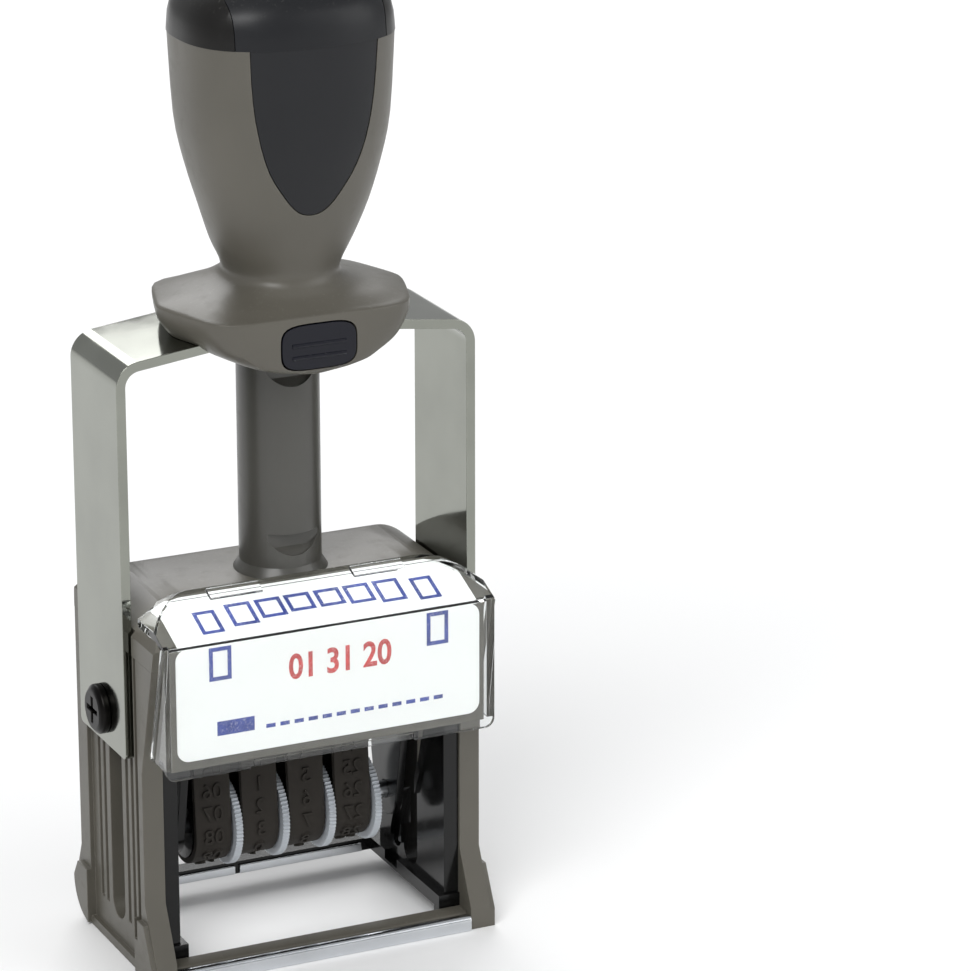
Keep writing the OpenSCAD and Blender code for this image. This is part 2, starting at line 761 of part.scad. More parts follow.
// Shield outline as [x, z] from its tip upwards.
shield_tip = crease_z + 15.6;
panel_w = 12.6;
shield_rows = [[0, 0], [1.3, 0.2], [2.7, 1], [4.4, 2.9], [7.4, 7.7], [9.4, 14.2], [10.5, 22.7],
               [11.2, 40]];
function shield_half() = stations(shield_rows, 3);
module shield_outline(grow = 0) {
    half = shield_half();
    polygon(concat([for (p = half) [p.x + grow, shield_tip + p.y - grow]],
                   [for (i = [len(half) - 1:-1:1]) [-half[i].x - grow, shield_tip + half[i].y - grow]]));
}

// Button outline as [x, z] about its middle: taller in the middle than at its ends.
function button_ring(grow = 0) =
    [for (i = [0:47])
        let (a = 7.5 * i, c = cos(a), s = sin(a), t = pow(pow(abs(c), 4) + pow(abs(s), 4), -0.25))
        [(button_w / 2 + grow) * c * t, button_z + (button_h / 2 + grow) * s * t]];

// The skin's outer layer under the shield.
module shield_space(depth, grow = 0) {
    difference() {
        intersection() {
            along_y(-2 * grip_w, grip_y - grip_d / 2) shield_outline(grow);
            block([-grip_w, -2 * grip_w, shield_tip - 1], [grip_w, grip_y, grip_top + 1]);
        }
        loft(head_rows(-depth));
    }
}

// The cap's outer shape, grown outwards by grow.
module cap_skin(grow = 0) {
    loft([
        [grip_top, grip_w + 0.1 + grow, grip_d + 0.1 + grow, grip_y, 2.6, 0],
        [grip_top + cap_h * 0.42, grip_w - 0.5 + grow, grip_d - 0.5 + grow, grip_y, 2.6, 0],
        [grip_top + cap_h * 0.71 + grow / 2, grip_w - 3 + grow, grip_d - 2.8 + grow, grip_y, 2.5, 0],
        [grip_top + cap_h * 0.91 + grow * 0.8, grip_w - 7.4 + grow, grip_d - 6.6 + grow, grip_y, 2.4, 0],
        [top_z + grow, grip_w - 14, grip_d - 12.4, grip_y, 2.1, 0]]);
}

// Front panel of the cap, which the shield runs up into.
module panel_space(depth, grow = 0) {
    difference() {
        block([-panel_w - grow, -2 * grip_w, grip_top - eps],
              [panel_w + grow, grip_y - grip_d / 2, top_z - cap_h * 0.3 + grow]);
        cap_skin(-depth);
    }
}

module shield_insert() {
    at_axis() color("#343536") {
        intersection() {
            shield_space(0.65, -0.12);
            loft(head_rows(-0.1));
            block([-grip_w, -2 * grip_w, shield_tip - 1], [grip_w, grip_y, grip_top]);
        }
        intersection() {
            panel_space(0.65);
            cap_skin(-0.05);
        }
    }
}

module grip_cap() {
    at_axis() color("#262523") difference() {
        cap_skin();
        panel_space(0.7, 0.12);
        translate([0, grip_y, grip_top - 1]) cylinder(r = grip_d - 4, h = cap_h - 3.4);
    }
}

module lock_button() {
    y0 = -flange_front - 0.1;
    at_axis() color("#1c1d28") difference() {
        union() {
            along_y(y0, y0 + button_d) polygon(button_ring());
            for (z = [0.4, -1.6])
                translate([0, y0 + 0.15, button_z + z]) rotate([0, 90, 0])
                    cylinder(r = 0.4, h = button_w - 3.4, center = true, $fn = 24);
        }
        block([-latch_w / 2, y0 + 2, latch_z - latch_h / 2], [latch_w / 2, 0, latch_z + latch_h / 2]);
    }
}

module latch_plate() {
    at_axis() color(steel)
        block([-latch_w / 2, -flange_front + 1.9, latch_z - latch_h / 2],
              [latch_w / 2, column_y - column_r - latch_back, latch_z + latch_h / 2]);
}

// Bowed leaf behind the button, drawn as it lies when the button is in.
module button_spring() {
    seat = -flange_front + 8;
    at_axis() color(steel)
        translate([0, 0, button_z + 0.9]) linear_extrude(1.2)
            polygon(concat([for (x = [-5:1:5]) [x, seat - 0.9 + 0.034 * x * x - 0.3]],
                           [for (x = [5:-1:-5]) [x, seat - 0.9 + 0.034 * x * x]]));
}

// ---------- return spring ----------

spring_r = column_in - 0.9;
wire_r = 0.5;
spring_turns = 16;
spring_sides = 6;
spring_steps = 14;
spring_z0 = column_floor + wire_r;
spring_z1 = roof_z - wire_r;
function coil(i) =
    let (t = i / (spring_turns * spring_steps), a = 360 * spring_turns * t,
         z = spring_z0 + (spring_z1 - spring_z0) * t)
    [for (k = [0:spring_sides - 1])
        let (b = 360 * k / spring_sides, r = spring_r + wire_r * cos(b))
        [r * cos(a), r * sin(a), z + wire_r * sin(b)]];

module return_spring() {
    n = spring_turns * spring_steps;
    s = spring_sides;
    points = [for (i = [0:n]) each coil(i)];
    walls = [for (i = [0:n - 1], k = [0:s - 1])
        let (a = i * s + k, b = i * s + (k + 1) % s) each [[a, b + s, b], [a, a + s, b + s]]];
    ends = [[for (k = [0:s - 1]) k], [for (k = [s - 1:-1:0]) n * s + k]];
    at_axis() color(steel) translate([0, column_y, 0]) polyhedron(points, concat(walls, ends));
}

// ---------- platen ----------

module platen_outline() {
    top = axle_z + die_reach - rubber_t - plate_t;
    polygon(concat([[-8, top], [-8, axle_z - 5]],
                   arc([0, wheel_z], 4.4, 190, 350),
                   [[8, axle_z - 5], [8, top]]));
}

module platen_plate() {
    difference() {
        along_x(plate_in, plate_out) platen_outline();
        bar_x(0, 2 * die_w, pivot_r + pin_gap, 0, axle_z);
        bar_x(0, 2 * die_w, axle_r + pin_gap, 0, wheel_z);
        bar_x(0, 2 * die_w, pin_r, -pin_reach, axle_z);
    }
}

module platen_plate_right() { at_axis() color(black) platen_plate(); }
module platen_plate_left() { at_axis() color(black) mirror([1, 0, 0]) platen_plate(); }

module date_window(z0, z1) { block([-date_x, -date_y, z0], [date_x, date_y, z1]); }

module die_plate() {
    z = axle_z + die_reach - rubber_t;
    at_axis() color(black) difference() {
        block([-die_w / 2, -die_d / 2, z - plate_t], [die_w / 2, die_d / 2, z]);
        date_window(z - plate_t - 1, z + 1);
    }
}

// Rubber with a raised border and two plain raised bars in place of words.
module text_rubber() {
    z = axle_z + die_reach;
    at_axis() color("#3a2f2b") difference() {
        block([-die_w / 2, -die_d / 2, z - rubber_t], [die_w / 2, die_d / 2, z]);
        date_window(z - rubber_t - 1, z + 1);
        for (s = [-1, 1])
            block([-die_w / 2 + 1.2, s > 0 ? date_y + 1 : -die_d / 2 + 1.2, z - 0.7],
                  [die_w / 2 - 1.2, s > 0 ? die_d / 2 - 1.2 : -date_y - 1, z + 1]);
    }
}

// Outline of a band's loop, as far as grow outside its inner face.
module band_outline(grow) {
    hull() {
        translate([0, wheel_z]) circle(drum_r + 0.1 + grow, $fn = 32);
        for (y = [-nose_y, nose_y]) translate([y, nose_z]) circle(nose_r + grow, $fn = 32);
    }
}

module band(k) {
    x0 = wheel_x0 + k * wheel_pitch;
    at_axis() color(dark) along_x(x0 + 0.3, x0 + wheel_pitch - rim_t - 0.4) difference() {
        band_outline(band_t);
        band_outline(0);
    }
}

// Bar that the bands run over behind the die face.
module band_bridge() {
    at_axis() color(black) along_x(-plate_in, plate_in) {
        translate([-nose_y, nose_z - nose_r + 0.1]) square([2 * nose_y, 2 * nose_r - 0.2]);
        for (y = [-nose_y, nose_y]) translate([y, nose_z]) circle(nose_r - 0.1);
    }
}

module wheel_axle() {
    at_axis() color(steel) bar_x(-plate_out - 0.3, plate_out + 0.3, axle_r, 0, wheel_z);
}

module follower_pins() {
    at_axis() color(steel) both_sides()
        bar_x(plate_in, cam_in + groove_d - 0.3, pin_r, -pin_reach, axle_z);
}

module wheel(k) {
    x0 = wheel_x0 + k * wheel_pitch;
    rim_x = x0 + wheel_pitch - rim_t;
    at_axis() color(steel) difference() {
        union() {
            bar_x(x0 + 0.1, rim_x + eps, drum_r, 0, wheel_z);
            translate([rim_x, 0, wheel_z]) rotate([90, 0, 90]) linear_extrude(rim_t - 0.1)
                polygon([for (i = [0:2 * rim_teeth - 1])
                    let (a = 180 * i / rim_teeth, r = wheel_r - (i % 2) * 0.45) r * [cos(a), sin(a)]]);
        }
        bar_x(-2 * die_w, 2 * die_w, axle_r + pin_gap, 0, wheel_z);
    }
}

module date_wheel_1() { wheel(0); }
module date_wheel_2() { wheel(1); }
module date_wheel_3() { wheel(2); }
module date_wheel_4() { wheel(3); }
module date_band_1() { band(0); }
module date_band_2() { band(1); }
module date_band_3() { band(2); }
module date_band_4() { band(3); }

side_frame_left();
side_frame_right();
top_cover();
rear_panel();
card_carrier();
cam_plate_left();
cam_plate_right();
base_frame();
front_sill();
front_trim();
rear_trims();
base_screws();
column();
column_screws();
index_card();
window();
pad_tray();
ink_pad();
bail();
pivot_screws();
grip();
grip_cap();
shield_insert();
bail_screws();
lock_button();
latch_plate();
button_spring();
return_spring();
platen_plate_left();
platen_plate_right();
die_plate();
text_rubber();
band_bridge();
wheel_axle();
follower_pins();
date_wheel_1();
date_wheel_2();
date_wheel_3();
date_wheel_4();
date_band_1();
date_band_2();
date_band_3();
date_band_4();
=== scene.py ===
"""Self-inking line dater: finishes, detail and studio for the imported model.

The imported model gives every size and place. Each sub-assembly below either eases
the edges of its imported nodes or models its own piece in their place, then dresses
it in a finish and lets it ride on its body.
"""

import json
import logging
import math
from contextlib import contextmanager
from dataclasses import dataclass, field
from enum import Enum
from typing import Iterator, Sequence

import bpy
from mathutils import Matrix, Vector

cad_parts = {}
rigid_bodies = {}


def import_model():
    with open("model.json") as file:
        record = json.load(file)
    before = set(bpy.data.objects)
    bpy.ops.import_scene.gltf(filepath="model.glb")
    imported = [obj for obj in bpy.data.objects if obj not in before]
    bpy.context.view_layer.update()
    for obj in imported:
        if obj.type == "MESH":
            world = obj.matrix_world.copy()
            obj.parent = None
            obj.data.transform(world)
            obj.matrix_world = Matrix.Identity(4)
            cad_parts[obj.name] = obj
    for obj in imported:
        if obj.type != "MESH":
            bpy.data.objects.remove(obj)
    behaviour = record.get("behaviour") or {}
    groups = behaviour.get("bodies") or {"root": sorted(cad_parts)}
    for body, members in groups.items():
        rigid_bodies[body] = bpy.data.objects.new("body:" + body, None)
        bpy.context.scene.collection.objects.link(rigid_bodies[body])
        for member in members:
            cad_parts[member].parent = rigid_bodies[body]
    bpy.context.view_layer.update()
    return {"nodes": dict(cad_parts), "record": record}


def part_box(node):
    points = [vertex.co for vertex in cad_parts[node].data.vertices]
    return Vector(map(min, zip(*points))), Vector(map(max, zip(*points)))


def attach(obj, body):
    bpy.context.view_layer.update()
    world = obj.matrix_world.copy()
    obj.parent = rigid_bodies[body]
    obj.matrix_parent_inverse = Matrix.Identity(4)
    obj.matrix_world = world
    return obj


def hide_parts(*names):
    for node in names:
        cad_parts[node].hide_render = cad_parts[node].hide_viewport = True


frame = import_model()

MM = 0.001
LOG = logging.getLogger("line_dater")

Rgb = tuple[float, float, float]


def mm(x: float, y: float, z: float) -> Vector:
    """A point given in millimetres, as Blender's metres."""
    return Vector((x, y, z)) * MM


def paint(code: str) -> Rgb:
    """Turns a web colour into linear light.

    Args:
        code: six hexadecimal digits.

    Returns:
        Red, green and blue from 0 to 1, linear.
    """
    parts = [int(code[i:i + 2], 16) / 255 for i in (0, 2, 4)]
    red, green, blue = (p / 12.92 if p < 0.04045 else ((p + 0.055) / 1.055) ** 2.4 for p in parts)
    return red, green, blue


def shade(colour: Rgb, gain: float) -> tuple[float, float, float, float]:
    """The colour made lighter or darker, with full alpha."""
    return (min(1.0, colour[0] * gain), min(1.0, colour[1] * gain), min(1.0, colour[2] * gain), 1.0)


class Way(Enum):
    """What one solid does to another."""

    CUT = "DIFFERENCE"
    JOIN = "UNION"


class Bench:
    """The modelling bench: primitives, selections and edge finishing."""

    @staticmethod
    def only(obj: bpy.types.Object) -> None:
        """Selects one object and nothing else.

        Args:
            obj: the object.
        """
        for other in bpy.context.view_layer.objects:
            other.select_set(False)
        obj.select_set(True)
        bpy.context.view_layer.objects.active = obj

    @staticmethod
    @contextmanager
    def editing(obj: bpy.types.Object) -> Iterator[None]:
        """Edit mode on one object for the length of a with block.

        Args:
            obj: the object to edit.
        """
        Bench.only(obj)
        bpy.ops.object.mode_set(mode="EDIT")
        try:
            yield
        finally:
            bpy.ops.object.mode_set(mode="OBJECT")

    @staticmethod
    def named(name: str) -> bpy.types.Object:
        """Names the object just added and gives its mesh the same name.

        Args:
            name: the name.

        Returns:
            The object.
        """
        obj = bpy.context.object
        obj.name = name
        obj.data.name = name
        return obj

    @staticmethod
    def settle(obj: bpy.types.Object) -> bpy.types.Object:
        """Moves an object's place, turn and size into its mesh."""
        Bench.only(obj)
        bpy.ops.object.transform_apply(location=True, rotation=True, scale=True)
        return obj

    @staticmethod
    def block(name: str, low: Vector, high: Vector) -> bpy.types.Object:
        """A box primitive between two corners.

        Args:
            name: the new object's name.
            low: its lowest corner.
            high: its highest corner.

        Returns:
            The new object, with its place in its mesh.
        """
        bpy.ops.mesh.primitive_cube_add(size=1, location=(low + high) / 2, scale=high - low)
        return Bench.settle(Bench.named(name))

    @staticmethod
    def rod(name: str, start: Vector, end: Vector, radius: float, sides: int = 48) -> bpy.types.Object:
        """A round bar primitive between two points.

        Args:
            name: the new object's name.
            start: the middle of one end.
            end: the middle of the other end.
            radius: its radius in metres.
            sides: how many sides it has.

        Returns:
            The new object, with its place in its mesh.
        """
        along = end - start
        bpy.ops.mesh.primitive_cylinder_add(
            vertices=sides, radius=radius, depth=along.length, location=(start + end) / 2,
            rotation=along.to_track_quat("Z", "Y").to_euler())
        return Bench.settle(Bench.named(name))

    @staticmethod
    def outline(name: str, points: Sequence[Vector], reach: Vector) -> bpy.types.Object:
        """A flat outline, drawn by moving a ring's vertices, and extruded.

        Args:
            name: the new object's name.
            points: the outline's corners in order.
            reach: how far and which way it is extruded.

        Returns:
            The closed solid.
        """
        bpy.ops.mesh.primitive_circle_add(vertices=len(points), radius=MM, fill_type="NGON")
        obj = Bench.named(name)
        for vertex, point in zip(obj.data.vertices, points):
            vertex.co = point
        with Bench.editing(obj):
            bpy.ops.mesh.select_all(action="SELECT")
            bpy.ops.mesh.extrude_region_move(TRANSFORM_OT_translate={"value": reach})
            bpy.ops.mesh.select_all(action="SELECT")
            bpy.ops.mesh.normals_make_consistent(inside=False)
        return obj

    @staticmethod
    def apply(obj: bpy.types.Object, kind: str, **settings: object) -> bpy.types.Object:
        """Adds a modifier with these settings and applies it.

        Args:
            obj: the object.
            kind: the modifier's type.
            settings: the modifier's own properties.

        Returns:
            The object.
        """
        Bench.only(obj)
        modifier = obj.modifiers.new(kind.lower(), kind)
        for key, value in settings.items():
            setattr(modifier, key, value)
        bpy.ops.object.modifier_apply(modifier=modifier.name)
        return obj

    @staticmethod
    def cut(obj: bpy.types.Object, tool: bpy.types.Object, way: Way = Way.CUT) -> bpy.types.Object:
        """Cuts or joins one solid with another, which is then thrown away.

        Args:
            obj: the solid that is kept.
            tool: the other solid.
            way: whether the tool is taken away or added.

        Returns:
            The solid that is kept.
        """
        Bench.apply(obj, "BOOLEAN", operation=way.value, solver="EXACT", object=tool)
        bpy.data.objects.remove(tool, do_unlink=True)
        return obj

    @staticmethod
    def clean(obj: bpy.types.Object, flat: float = 0.4) -> bpy.types.Object:
        """Merges loose corners and takes out the seams that lie in flat faces."""
        with Bench.editing(obj):
            bpy.ops.mesh.select_all(action="SELECT")
            bpy.ops.mesh.remove_doubles(threshold=0.004 * MM)
            bpy.ops.mesh.dissolve_limited(angle_limit=math.radians(flat))
        return obj

    @staticmethod
    def ease(obj: bpy.types.Object, width: float, segments: int = 2,
             angle: float = 28) -> bpy.types.Object:
        """Rounds the sharp edges, then smooths the shading.

        Args:
            obj: the piece.
            width: width of the rounding in millimetres.
            segments: steps in the rounding.
            angle: edges sharper than this, in degrees, are rounded.

        Returns:
            The piece.
        """
        if width > 0:
            Bench.apply(obj, "BEVEL", width=width * MM, segments=segments, limit_method="ANGLE",
                        angle_limit=math.radians(angle), use_clamp_overlap=True)
        return Bench.smooth(obj)

    @staticmethod
    def smooth(obj: bpy.types.Object, angle: float = 34) -> bpy.types.Object:
        """Smooth shading by angle, with flat faces kept flat."""
        Bench.only(obj)
        bpy.ops.object.shade_smooth_by_angle(angle=math.radians(angle))
        return Bench.apply(obj, "WEIGHTED_NORMAL", weight=60, keep_sharp=True)

    @staticmethod
    def copy_of(node: str) -> bpy.types.Object:
        """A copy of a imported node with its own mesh.

        Args:
            node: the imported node's name.

        Returns:
            The copy, merged and cleaned.
        """
        mesh = frame["nodes"][node].data.copy()
        mesh.materials.clear()
        obj = bpy.data.objects.new(f"{node}_finished", mesh)
        bpy.context.scene.collection.objects.link(obj)
        return Bench.clean(obj)

    @staticmethod
    def joined(name: str, pieces: Sequence[bpy.types.Object]) -> bpy.types.Object:
        """Joins several objects into one.

        Args:
            name: the name of the result.
            pieces: the objects, which are used up.

        Returns:
            The joined object.
        """
        Bench.only(pieces[0])
        for piece in pieces[1:]:
            piece.select_set(True)
        if len(pieces) > 1:
            bpy.ops.object.join()
        return Bench.named(name)


# ---------- finishes ----------


@dataclass
class Wiring:
    """Adds and joins the nodes of one tree."""

    tree: bpy.types.NodeTree

    def node(self, kind: str, **settings: object) -> bpy.types.Node:
        """A new node with these settings."""
        made = self.tree.nodes.new(kind)
        for key, value in settings.items():
            setattr(made, key, value)
        return made

    def fed(self, kind: str, inputs: dict[str, object], **settings: object) -> bpy.types.Node:
        """A new node whose inputs are joined or set.

        Args:
            kind: the node's type.
            inputs: for each input's name or number, a socket to join or a value.
            settings: the node's own properties.

        Returns:
            The node.
        """
        made = self.node(kind, **settings)
        for key, value in inputs.items():
            if isinstance(value, bpy.types.NodeSocket):
                self.tree.links.new(value, made.inputs[key])
            else:
                made.inputs[key].default_value = value
        return made

    def span(self, value: bpy.types.NodeSocket, low: float, high: float,
             to_low: float = 0.0, to_high: float = 1.0) -> bpy.types.NodeSocket:
        """Maps one range of a value to another, held at its ends."""
        made = self.fed("ShaderNodeMapRange", {0: value, 1: low, 2: high, 3: to_low, 4: to_high})
        return made.outputs[0]

    def times(self, a: bpy.types.NodeSocket, b: bpy.types.NodeSocket | float) -> bpy.types.NodeSocket:
        """One value times another."""
        return self.fed("ShaderNodeMath", {0: a, 1: b}, operation="MULTIPLY").outputs[0]

    def mix(self, share: bpy.types.NodeSocket, a: object, b: object) -> bpy.types.NodeSocket:
        """A mix of two colours.

        Args:
            share: how much of the second colour.
            a: the first colour, or a socket that gives it.
            b: the second colour, or a socket that gives it.

        Returns:
            The mixed colour's socket.
        """
        made = self.node("ShaderNodeMix", data_type="RGBA")
        for key, value in ((0, share), (6, a), (7, b)):
            if isinstance(value, bpy.types.NodeSocket):
                self.tree.links.new(value, made.inputs[key])
            else:
                made.inputs[key].default_value = value
        return made.outputs[2]

    def group(self, shared: bpy.types.NodeTree, **inputs: object) -> bpy.types.Node:
        """A shared effect placed in this tree, with its own values.

        Args:
            shared: the effect's node group.
            inputs: its inputs, with _ for a space in a name.

        Returns:
            The group node.
        """
        named = {key.replace("_", " "): value for key, value in inputs.items()}
        made = self.node("ShaderNodeGroup", node_tree=shared)
        for key, value in named.items():
            if isinstance(value, bpy.types.NodeSocket):
                self.tree.links.new(value, made.inputs[key])
            else:
                made.inputs[key].default_value = value
        return made


class Effects:
    """Effects that several finishes share, each built once as a node group."""

    made: dict[str, bpy.types.NodeTree] = {}

    @classmethod
    def start(cls, name: str, inputs: dict[str, float], outputs: Sequence[str]) -> Wiring:
        """A new empty group with a vector input and these sockets.

        Args:
            name: the group's name.
            inputs: value inputs and their defaults.
            outputs: value outputs.

        Returns:
            The wiring of the group's tree.
        """
        tree = bpy.data.node_groups.new(name, "ShaderNodeTree")
        tree.interface.new_socket("Vector", in_out="INPUT", socket_type="NodeSocketVector")
        for key, value in inputs.items():
            socket = tree.interface.new_socket(key, in_out="INPUT", socket_type="NodeSocketFloat")
            socket.default_value = value
        for key in outputs:
            tree.interface.new_socket(key, in_out="OUTPUT", socket_type="NodeSocketFloat")
        cls.made[name] = tree
        return Wiring(tree)

    @classmethod
    def moulded(cls) -> bpy.types.NodeTree:
        """Fine grain, slow shade changes and rubbed patches of moulded plastic."""
        if "moulded" in cls.made:
            return cls.made["moulded"]
        w = cls.start("moulded", {"Grain": 5200.0, "Patch": 60.0}, ("Height", "Tone", "Rub"))
        source = w.node("NodeGroupInput").outputs
        fine = w.fed("ShaderNodeTexNoise", {"Vector": source["Vector"], "Scale": source["Grain"],
                                            "Detail": 3.0, "Roughness": 0.55})
        slow = w.fed("ShaderNodeTexNoise", {"Vector": source["Vector"], "Scale": source["Patch"],
                                            "Detail": 2.0, "Roughness": 0.5})
        rub = w.fed("ShaderNodeTexNoise", {"Vector": source["Vector"],
                                           "Scale": w.times(source["Patch"], 6.0),
                                           "Detail": 5.0, "Roughness": 0.62, "Distortion": 0.4})
        w.fed("NodeGroupOutput", {
            "Height": fine.outputs["Fac"],
            "Tone": w.span(slow.outputs["Fac"], 0.3, 0.7),
            "Rub": w.span(rub.outputs["Fac"], 0.52, 0.78)})
        return w.tree

    @classmethod
    def wear_and_highlight(cls) -> bpy.types.NodeTree:
        """A mask along the edges, broken up so that it looks rubbed. The finishes use it both for rubbed
        edge wear and to paint the edges lighter as a painted highlight, where rounded edges would catch
        the light.
        """
        if "edge_wear_and_highlight" in cls.made:
            return cls.made["edge_wear_and_highlight"]
        w = cls.start("edge_wear_and_highlight", {"Break": 900.0}, ("Mask",))
        source = w.node("NodeGroupInput").outputs
        # The Bevel node's rounded-edge normal feeds only this mask, which the finishes use partly as a
        # painted edge highlight.
        rounded = w.fed("ShaderNodeBevel", {"Radius": 0.35 * MM}, samples=3)
        plain = w.node("ShaderNodeNewGeometry")
        dot = w.fed("ShaderNodeVectorMath", {0: rounded.outputs[0], 1: plain.outputs["Normal"]},
                    operation="DOT_PRODUCT")
        edge = w.span(dot.outputs["Value"], 0.995, 0.86)
        crumbs = w.fed("ShaderNodeTexNoise", {"Vector": source["Vector"], "Scale": source["Break"],
                                              "Detail": 3.0})
        w.fed("NodeGroupOutput", {
            "Mask": w.times(edge, w.span(crumbs.outputs["Fac"], 0.4, 0.65))})
        return w.tree

    @classmethod
    def dust(cls) -> bpy.types.NodeTree:
        """Thin dust that settles on faces that look up."""
        if "settled_dust" in cls.made:
            return cls.made["settled_dust"]
        w = cls.start("settled_dust", {"Speck": 1400.0}, ("Mask",))
        source = w.node("NodeGroupInput").outputs
        facing = w.node("ShaderNodeNewGeometry")
        split = w.fed("ShaderNodeSeparateXYZ", {0: facing.outputs["Normal"]})
        specks = w.fed("ShaderNodeTexNoise", {"Vector": source["Vector"], "Scale": source["Speck"],
                                              "Detail": 4.0, "Roughness": 0.7})
        w.fed("NodeGroupOutput", {
            "Mask": w.times(w.span(split.outputs["Z"], 0.35, 1.0),
                            w.span(specks.outputs["Fac"], 0.58, 0.74))})
        return w.tree

    @classmethod
    def drawn(cls) -> bpy.types.NodeTree:
        """Faint lines and clouded patches left by rolling and plating."""
        if "drawn_metal" in cls.made:
            return cls.made["drawn_metal"]
        w = cls.start("drawn_metal", {"Lines": 900.0, "Cloud": 90.0}, ("Height", "Gloss"))
        source = w.node("NodeGroupInput").outputs
        long = w.fed("ShaderNodeMapping", {"Vector": source["Vector"], "Scale": (1.0, 1.0, 0.04)})
        lines = w.fed("ShaderNodeTexNoise", {"Vector": long.outputs[0], "Scale": source["Lines"],
                                             "Detail": 4.0, "Roughness": 0.6})
        cloud = w.fed("ShaderNodeTexNoise", {"Vector": source["Vector"], "Scale": source["Cloud"],
                                             "Detail": 3.0})
        w.fed("NodeGroupOutput", {
            "Height": lines.outputs["Fac"],
            "Gloss": w.span(cloud.outputs["Fac"], 0.3, 0.72)})
        return w.tree


@dataclass(frozen=True)
class Finish:
    """A named surface that is made once and then handed out."""

    name: str
    colour: str
    rough: float = 0.4

    def begin(self) -> tuple[bpy.types.Material, Wiring, bpy.types.Node, bpy.types.NodeSocket]:
        """A fresh material with its shader and object coordinates.

        Returns:
            The material, its wiring, its Principled shader and the coordinates.
        """
        material = bpy.data.materials.new(self.name)
        material.use_nodes = True
        material.diffuse_color = shade(paint(self.colour), 1.0)
        wiring = Wiring(material.node_tree)
        shader = material.node_tree.nodes["Principled BSDF"]
        shader.inputs["Base Color"].default_value = shade(paint(self.colour), 1.0)
        shader.inputs["Roughness"].default_value = self.rough
        return material, wiring, shader, wiring.node("ShaderNodeTexCoord").outputs["Object"]

    def bump(self, w: Wiring, shader: bpy.types.Node, height: bpy.types.NodeSocket,
             depth: float, strength: float = 1.0) -> None:
        """Feeds a height into the shader's normal, with its depth in millimetres."""
        made = w.fed("ShaderNodeBump", {"Height": height, "Distance": depth * MM,
                                        "Strength": strength})
        w.tree.links.new(made.outputs["Normal"], shader.inputs["Normal"])

    def make(self) -> bpy.types.Material:
        """Builds the material."""
        raise NotImplementedError

    def get(self) -> bpy.types.Material:
        """The material, built at its first use."""
        return bpy.data.materials.get(self.name) or self.make()


@dataclass(frozen=True)
class MouldedPlastic(Finish):
    """Moulded plastic with fine grain, edges lightened partly as rubbed wear and partly as a painted
    highlight, and a little dust.
    """

    grain: float = 5200.0
    depth: float = 0.006
    spread: float = 0.1
    tone: float = 0.08
    wear_and_highlight_share: float = 0.35
    dusty: float = 0.12
    coat: float = 0.0
    shine: float = 0.5

    def make(self) -> bpy.types.Material:
        """Builds the material."""
        material, w, shader, place = self.begin()
        colour = paint(self.colour)
        skin = w.group(Effects.moulded(), Vector=place, Grain=self.grain)
        wear_and_highlight = w.group(Effects.wear_and_highlight(), Vector=place)
        dust = w.group(Effects.dust(), Vector=place)
        base = w.mix(skin.outputs["Tone"], shade(colour, 1 - self.tone), shade(colour, 1 + self.tone))
        # Edges lightened: rubbed wear, and a painted highlight where the eased edges would catch the
        # light.
        base = w.mix(w.times(wear_and_highlight.outputs["Mask"], self.wear_and_highlight_share), base, shade(colour, 1.9))
        base = w.mix(w.times(dust.outputs["Mask"], self.dusty), base, (0.5, 0.49, 0.46, 1))
        w.tree.links.new(base, shader.inputs["Base Color"])
        rough = w.span(skin.outputs["Rub"], 0, 1, self.rough - self.spread / 2,
                       self.rough + self.spread / 2)
        w.tree.links.new(rough, shader.inputs["Roughness"])
        shader.inputs["Specular IOR Level"].default_value = self.shine
        shader.inputs["Coat Weight"].default_value = self.coat
        shader.inputs["Coat Roughness"].default_value = 0.12
        self.bump(w, shader, skin.outputs["Height"], self.depth)
        return material


@dataclass(frozen=True)
class PlatedSteel(Finish):
    """Bright plated steel with faint rolling lines, dulled patches and edges lightened partly as rubbed
    wear and partly as a painted highlight.
    """

    lines: float = 900.0
    depth: float = 0.0015
    dull: float = 0.1

    def make(self) -> bpy.types.Material:
        """Builds the material."""
        material, w, shader, place = self.begin()
        colour = paint(self.colour)
        shader.inputs["Metallic"].default_value = 1.0
        drawn = w.group(Effects.drawn(), Vector=place, Lines=self.lines)
        wear_and_highlight = w.group(Effects.wear_and_highlight(), Vector=place, Break=2600.0)
        base = w.mix(drawn.outputs["Gloss"], shade(colour, 0.92), shade(colour, 1.06))
        # Edges lightened: rubbed wear, and a painted highlight along the plating's edges.
        base = w.mix(w.times(wear_and_highlight.outputs["Mask"], 0.5), base, shade(colour, 1.5))
        w.tree.links.new(base, shader.inputs["Base Color"])
        rough = w.span(drawn.outputs["Gloss"], 0, 1, self.rough, self.rough + self.dull)
        w.tree.links.new(rough, shader.inputs["Roughness"])
        self.bump(w, shader, drawn.outputs["Height"], self.depth)
        return material


